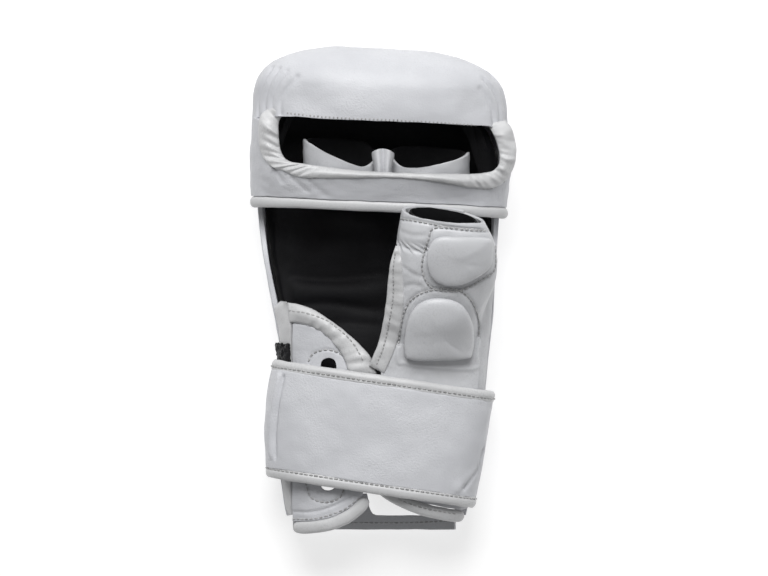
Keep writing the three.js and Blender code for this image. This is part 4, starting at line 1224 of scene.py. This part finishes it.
@dataclass
class ThumbPart:
    """The thumb: its panel and tube, the two stitched pads and the binding of the web."""

    swelling: float = 1.2 * MM
    pad_share: float = 0.89
    pad_lift: float = 0.4 * MM

    PAD_TILTS = {"upper": 0.07, "lower": -0.12}
    PAD_WAVES = {"upper": Waves(12 * MM, 0.15 * MM, 33), "lower": Waves(12 * MM, 0.15 * MM, 34)}
    PANEL_WAVES = (Waves(16 * MM, 0.6 * MM, 31), Waves(5 * MM, 0.12 * MM, 32))
    LINING_WAVES = Waves(9 * MM, 0.4 * MM, 35)
    WEB_WAVES = Waves(6 * MM, 0.2 * MM, 36)
    STITCH_GROOVE = Crease(1.0 * MM, 0.8 * MM)
    PANEL_CREASE = Crease(1.4 * MM, 0.55 * MM)
    WEB_GROOVE = Crease(0.8 * MM, 0.5 * MM)
    WEB_STITCH = Stitch(1.7 * MM, 0.7 * MM, 0.55 * MM, 2.2 * MM)
    PAD_FACE = (-0.2, 0.4)
    PAD_TOP = (0.1, 0.8)

    HEM = ((399, 219), (410, 220.5), (430, 224), (450, 228), (465, 230), (480, 231))
    UPPER_PAD = (
        (484, 231), (460, 229), (434, 228.5), (428, 240), (422, 261), (423, 275), (431, 287.5), (446, 291),
        (462, 290), (481, 280), (494, 270), (495, 250), (494, 236),
    )
    LOWER_PAD = (
        (398, 360), (400, 332), (406, 307), (420, 293.5), (440, 289), (457, 290), (471, 301), (479, 324),
        (476.5, 355), (475, 368), (437, 367), (405, 363),
    )
    WEB_TAPE = SewnTape(
        "web_tape",
        ((395.5, 246), (390.5, 262), (388, 280), (386.5, 297), (383.5, 319), (378.5, 341), (369, 366)),
        ((400, 246), (402, 262), (403.5, 280), (404, 297), (402, 320), (396, 347), (384, 373)),
        rise=1.8 * MM,
        lowest=20 * MM,
        gather=0.4 * MM,
        gather_pitch=3.4 * MM,
        seed=36,
    )
    WEB = ((395, 254), (393, 270), (393, 297), (389, 322), (384, 345), (377, 363))
    FOLDS = (
        ((401, 232), (412, 236), (424, 236)),
        ((400, 246), (410, 250), (419, 252)),
        ((404, 268), (412, 274), (421, 277)),
        ((402, 288), (412, 285), (420, 287)),
        ((446, 290), (470, 286), (488, 276)),
    )

    def build(self) -> None:
        """Build and dress every piece of the thumb."""
        panel = sheet_piece("thumb_panel", "thumb_leather", 3)
        crumple(panel, *self.PANEL_WAVES)
        outlines = [seam_on(panel, outline, closed=True) for outline in (self.UPPER_PAD, self.LOWER_PAD)]
        seams = [seam_on(panel, self.HEM), *outlines]
        for seam in seams:
            press(panel, seam, self.STITCH_GROOVE)
        for fold in self.FOLDS:
            press(panel, seam_on(panel, fold), self.PANEL_CREASE)
        wear(panel, SMOOTH_HIDE, "thumb_panel")
        thread = Needlework("thumb_stitches")
        for seam in seams:
            thread.row(seam)
        thread.finished()
        for level in ("upper", "lower"):
            self.pad(level)
        back = sheet_piece("thumb_back", "thumb_rear_leather", 2)
        wear(back, SMOOTH_HIDE, "thumb_back")
        lining = sheet_piece("thumb_lining", "thumb_cloth", 2, 0.3 * MM)
        crumple(lining, self.LINING_WAVES)
        wear(lining, TWILL, "thumb_lining")
        web = self.WEB_TAPE.over("web_binding", panel)
        crumple(web, self.WEB_WAVES)
        line = seam_on(web, self.WEB)
        press(web, line, self.WEB_GROOVE)
        wear(web, TAPE, "web_binding")
        Needlework("web_stitches").row(line, self.WEB_STITCH).finished()

    def pad(self, level: str) -> None:
        """Make one stuffed pad of the thumb, a little inside its stitches and thicker at one end.

        Args:
            level: upper or lower.
        """
        pad = skin_of(f"thumb_pad_{level}", f"thumb_cushion_{level}")
        refine(pad, 2)
        points = points_of(pad)
        middle = points.mean(0)
        spread = points - middle
        slope = self.PAD_TILTS[level] * spread[:, 1]
        points = middle + spread * self.pad_share
        face = smoothstep(normals_of(pad)[:, 2], *self.PAD_FACE)
        points[:, 2] += (slope + slope.max() + self.pad_lift) * face
        move_points(pad, points)
        finish_modifier(pad, "SMOOTH", factor=0.7, iterations=18, use_x=False, use_y=False)
        swell(pad, self.swelling, lambda points, normals: smoothstep(normals[:, 2], *self.PAD_TOP))
        refine(pad, 1)
        crumple(pad, self.PAD_WAVES[level])
        wear(pad, SMOOTH_HIDE, f"thumb_pad_{level}")


@dataclass
class CuffFlaps:
    """The flaps of the cuff, with the slot that the strap is threaded through."""

    slot_middle: float = -27.5 * MM
    slot_half: float = 4.2 * MM
    slot_top: float = -35.5 * MM
    slot_foot: float = -105 * MM
    slot_puff: float = 1.6
    slot_reach: float = 3.2
    strip_tip: float = 5 * MM
    strip_narrowing: float = 0.6
    tape_filling: float = 0.55 * MM

    FLAP_WAVES = Waves(13 * MM, 0.45 * MM, 41)
    TAPE_WAVES = {
        "flap_upper_binding": Waves(7 * MM, 0.22 * MM, 42),
        "flap_lower_binding": Waves(7 * MM, 0.22 * MM, 43),
        "heel_binding": Waves(7 * MM, 0.22 * MM, 44),
    }
    STRIP_WAVES = Waves(10 * MM, 0.5 * MM, 45)
    HEEL_WAVES = Waves(13 * MM, 0.5 * MM, 46)
    PILE_WAVES = Waves(2.2 * MM, 0.9 * MM, 47)
    FLAP_FOLD = Crease(0.8 * MM, 0.7 * MM)
    RING_GROOVE = Crease(0.8 * MM, 0.45 * MM)
    HEEL_CREASE = Crease(0.8 * MM, 0.6 * MM)

    UPPER_TAPE = SewnTape(
        "flap_upper_binding_tape",
        ((290, 322), (300, 323.5), (312, 327), (324, 334), (333, 343), (341, 353), (346, 364), (349, 375)),
        ((288, 302.5), (300, 304.5), (316, 310.5), (331, 320.5), (345, 331), (362, 346.5),
         (372, 359), (377, 374)),
        rise=2.0 * MM,
        lowest=20 * MM,
        gather=0.4 * MM,
        gather_pitch=4 * MM,
        seed=42,
    )
    UPPER_SEAM = ((286, 310), (306, 313), (326, 320), (341, 331), (353, 343), (362, 358))
    LOWER_SEAM = ((294, 519), (310, 519), (326, 516), (344, 509), (358, 499))
    FLAP_FOLDS = (
        ((287, 321), (312, 325), (337, 337), (353, 354)),
        ((294, 512), (311, 512), (328, 508), (350, 498)),
    )
    SLOT_RINGS = (
        ((309, 360), (314, 353), (328, 349.5), (341, 354), (348, 362)),
        ((306, 484), (311, 497), (326, 502), (340, 497), (345, 486)),
    )
    HEEL_SEAM = ((400, 500), (424, 508), (454, 513.5))
    HEEL_FOLD = ((400, 488), (420, 495), (452, 501))

    def build(self) -> None:
        """Build and dress the flaps, the side strip and the fastening patch."""
        flap = sheet_piece("pinky_flap", "flap_leather", 3)
        self.round_slot(flap)
        crumple(flap, self.FLAP_WAVES)
        folds = [seam_on(flap, fold) for fold in self.FLAP_FOLDS]
        for fold in folds:
            press(flap, fold, self.FLAP_FOLD)
        rings = [seam_on(flap, ring) for ring in self.SLOT_RINGS]
        for ring in rings:
            press(flap, ring, self.RING_GROOVE)
        wear(flap, HIDE, "pinky_flap")
        thread = Needlework("flap_stitches")
        for ring in rings:
            thread.row(ring)
        tapes = [flap, *(self.tape(node, flap) for node in self.TAPE_WAVES)]
        thread.row(seam_on(tapes, self.UPPER_SEAM)).row(seam_on(tapes, self.LOWER_SEAM))
        self.side_strip()
        heel = sheet_piece("heel_panel", "heel_leather", 3)
        crumple(heel, self.HEEL_WAVES)
        press(heel, seam_on(heel, self.HEEL_FOLD), self.HEEL_CREASE)
        wear(heel, HIDE, "heel_panel")
        thread.row(seam_on([heel, *tapes], self.HEEL_SEAM))
        thread.finished()
        patch = skin_of("fastening_patch", "fastening_pile")
        refine(patch, 3)
        crumple(patch, self.PILE_WAVES)
        wear(patch, PILE, "fastening_patch")

    def tape(self, node: str, flap: Piece) -> Piece:
        """Make one binding of the flaps.

        Args:
            node: the node that it stands for.
            flap: the flap that the upper one is sewn to.

        Returns:
            The binding.
        """
        if node == "flap_upper_binding":
            tape = self.UPPER_TAPE.over(node, flap)
        else:
            tape = tape_piece(node, f"{node}_tape", fatten=self.tape_filling)
        crumple(tape, self.TAPE_WAVES[node])
        return wear(tape, TAPE, node)

    def side_strip(self) -> None:
        """The strip along the little-finger side, narrowed towards its top."""
        strip = sheet_piece("pinky_side_strip", "side_strip_leather", 3)
        points = points_of(strip)
        top = points[:, 1].max()
        foot = top - self.strip_tip
        tip = smoothstep(points[:, 1], foot, top)
        middle = points[points[:, 1] > foot, 0].mean()
        points[:, 0] += self.strip_narrowing * tip**2 * (middle - points[:, 0])
        move_points(strip, points)
        crumple(strip, self.STRIP_WAVES)
        wear(strip, TAPE, "pinky_side_strip")

    def round_slot(self, flap: Piece) -> None:
        """Round both ends of the slot.

        Args:
            flap: the flap, finely divided.
        """
        points = points_of(flap)
        half = self.slot_half
        aside = np.abs(points[:, 0] - self.slot_middle)
        inside = half - np.sqrt(np.clip(half**2 - aside**2, 0, None))
        outside = half * np.clip(1 - (aside - half) / (self.slot_puff * half), 0, 1)
        bend = np.where(aside < half, inside, outside)
        for end, way in ((self.slot_top, -1.0), (self.slot_foot, 1.0)):
            along = way * (points[:, 1] - end)
            fade = np.clip(1 - np.abs(along) / (self.slot_reach * half), 0, 1)
            points[:, 1] += way * bend * fade
        move_points(flap, points)


@dataclass
class WristStrap:
    """The wide strap round the wrist, bound along both edges."""

    middle: Place = (0.0, -75.5 * MM, 27 * MM)
    tilt: float = math.radians(-8.4)
    seam_offset: float = 26.6 * MM
    edge_reach: float = 1.0 * MM
    cast_from: float = 0.15
    tape_filling: float = 0.55 * MM

    STRAP_WAVES = (Waves(30 * MM, 0.8 * MM, 51), Waves(9 * MM, 0.16 * MM, 52))
    TAPE_WAVES = {"lower": Waves(8 * MM, 0.25 * MM, 53), "upper": Waves(8 * MM, 0.25 * MM, 54)}
    TAPE_GROOVE = Crease(0.8 * MM, 0.35 * MM)
    EDGES = (16 * MM, 23 * MM)
    TURNS = (-70, 250, 0.5)
    MARKS = (
        (((279, 376), (274, 402), (271, 430), (271, 455)), Crease(1.5 * MM, 1.5 * MM, Side.RAISED)),
        (((283, 377), (278, 402), (275, 430), (275, 457)), Crease(1.1 * MM, 1.5 * MM)),
        (((484, 450), (477, 470), (464, 487)), Crease(1.8 * MM, 1.6 * MM)),
        (((478, 462), (470, 476), (457, 488)), Crease(3.0 * MM, 1.2 * MM, Side.RAISED)),
    )

    @property
    def towards_fingers(self) -> Array:
        """The direction across the strap's width."""
        return np.array((-math.sin(self.tilt), math.cos(self.tilt), 0.0))

    def around(self, piece: Piece, offset: float) -> Seam:
        """Lay a line round the strap at an even distance from its middle.

        Args:
            piece: the piece that the line lies on.
            offset: the distance, positive towards the fingers.

        Returns:
            The line.
        """
        turns = np.radians(np.arange(*self.TURNS))
        across = (math.cos(self.tilt), math.sin(self.tilt), 0.0)
        ways = np.outer(np.cos(turns), across) + np.outer(np.sin(turns), (0.0, 0.0, 1.0))
        starts = np.array(self.middle) + self.towards_fingers * offset + self.cast_from * ways
        return cast([piece], starts, -ways)

    def build(self) -> None:
        """Build and dress the strap and its bindings."""
        strap = sheet_piece("wrist_strap", "strap_leather", 3)
        points = points_of(strap)
        offset = (points - np.array(self.middle)) @ self.towards_fingers
        reach = self.edge_reach * np.sign(offset) * smoothstep(np.abs(offset), *self.EDGES)
        points += reach[:, None] * self.towards_fingers
        move_points(strap, points)
        crumple(strap, *self.STRAP_WAVES)
        for line, crease in self.MARKS:
            press(strap, seam_on(strap, line), crease)
        wear(strap, HIDE, "wrist_strap")
        thread = Needlework("strap_stitches")
        for edge, way in (("lower", -1), ("upper", 1)):
            node = f"strap_{edge}_binding"
            tape = tape_piece(node, f"{node}_tape", 3, self.tape_filling)
            crumple(tape, self.TAPE_WAVES[edge])
            seam = self.around(tape, way * self.seam_offset)
            press(tape, seam, self.TAPE_GROOVE)
            wear(tape, TAPE, node)
            thread.row(seam)
        thread.finished()


@dataclass(frozen=True)
class Lamp:
    """A square softbox that faces the glove."""

    name: str
    place: Place
    size: float
    power: float


@dataclass
class Studio:
    """The pale floor, the soft lights and the camera."""

    distance: float = 6.0
    glove_height: float = 0.04
    film: float = 36.0
    view_depth: float = 20.0
    floor_size: float = 8.0
    floor_gap: float = 0.05 * MM
    floor_glow: float = 0.68
    floor_roughness: float = 0.9
    floor_specular: float = 0.1
    room_glow: float = 0.2

    WHITE = (1.0, 1.0, 1.0, 1.0)
    FLOOR_TONE = (0.45, 0.45, 0.45, 1.0)
    LAMPS = (
        Lamp("softbox_top", (-0.08, 0.8, 1.2), 0.8, 20.5),
        Lamp("softbox_side", (0.9, -0.3, 0.9), 0.8, 1.2),
    )

    def build(self) -> None:
        """Set up everything around the glove."""
        self.floor()
        self.lights()
        self.camera()

    def floor(self) -> None:
        """A plain floor, wide enough for every view."""
        bpy.ops.object.select_all(action="DESELECT")
        bpy.ops.mesh.primitive_plane_add(size=self.floor_size, location=(0, 0, -self.floor_gap))
        floor = bpy.context.object
        floor.name = "studio_floor"
        material = bpy.data.materials.new("studio_floor")
        material.use_nodes = True
        sockets = material.node_tree.nodes["Principled BSDF"].inputs
        sockets["Base Color"].default_value = self.FLOOR_TONE
        sockets["Emission Color"].default_value = self.WHITE
        sockets["Emission Strength"].default_value = self.floor_glow
        sockets["Roughness"].default_value = self.floor_roughness
        sockets["Specular IOR Level"].default_value = self.floor_specular
        floor.data.materials.append(material)

    def lights(self) -> None:
        """A wide softbox overhead, a weaker one from the side, and an even room."""
        world = bpy.data.worlds.new("studio_room")
        world.use_nodes = True
        room = world.node_tree.nodes["Background"].inputs
        room["Color"].default_value = self.WHITE
        room["Strength"].default_value = self.room_glow
        bpy.context.scene.world = world
        for softbox in self.LAMPS:
            lamp = bpy.data.lights.new(softbox.name, "AREA")
            lamp.size = softbox.size
            lamp.energy = softbox.power
            box = bpy.data.objects.new(softbox.name, lamp)
            box.location = softbox.place
            box.rotation_euler = (-Vector(softbox.place)).to_track_quat("-Z", "Y").to_euler()
            bpy.context.scene.collection.objects.link(box)

    def camera(self) -> None:
        """A long lens straight above the glove, framed as in the photograph."""
        eye = bpy.data.objects.new("camera", bpy.data.cameras.new("camera"))
        eye.location = (*at(PHOTO_WIDTH / 2, PHOTO_HEIGHT / 2), self.distance)
        eye.data.sensor_width = self.film
        eye.data.lens = self.film * (self.distance - self.glove_height) / (PHOTO_WIDTH * PIXEL)
        eye.data.clip_end = self.view_depth
        bpy.context.scene.collection.objects.link(eye)
        bpy.context.scene.camera = eye


def main() -> None:
    """Build the glove's sub-assemblies in order, then the studio."""
    logging.basicConfig(level=logging.INFO, format="%(message)s")
    bpy.context.scene.view_settings.view_transform = "Standard"
    for part in (FingerHead(), HandBack(), ThumbPart(), CuffFlaps(), WristStrap(), Studio()):
        log.info("building %s", type(part).__name__)
        part.build()


if __name__ == "__main__":
    main()
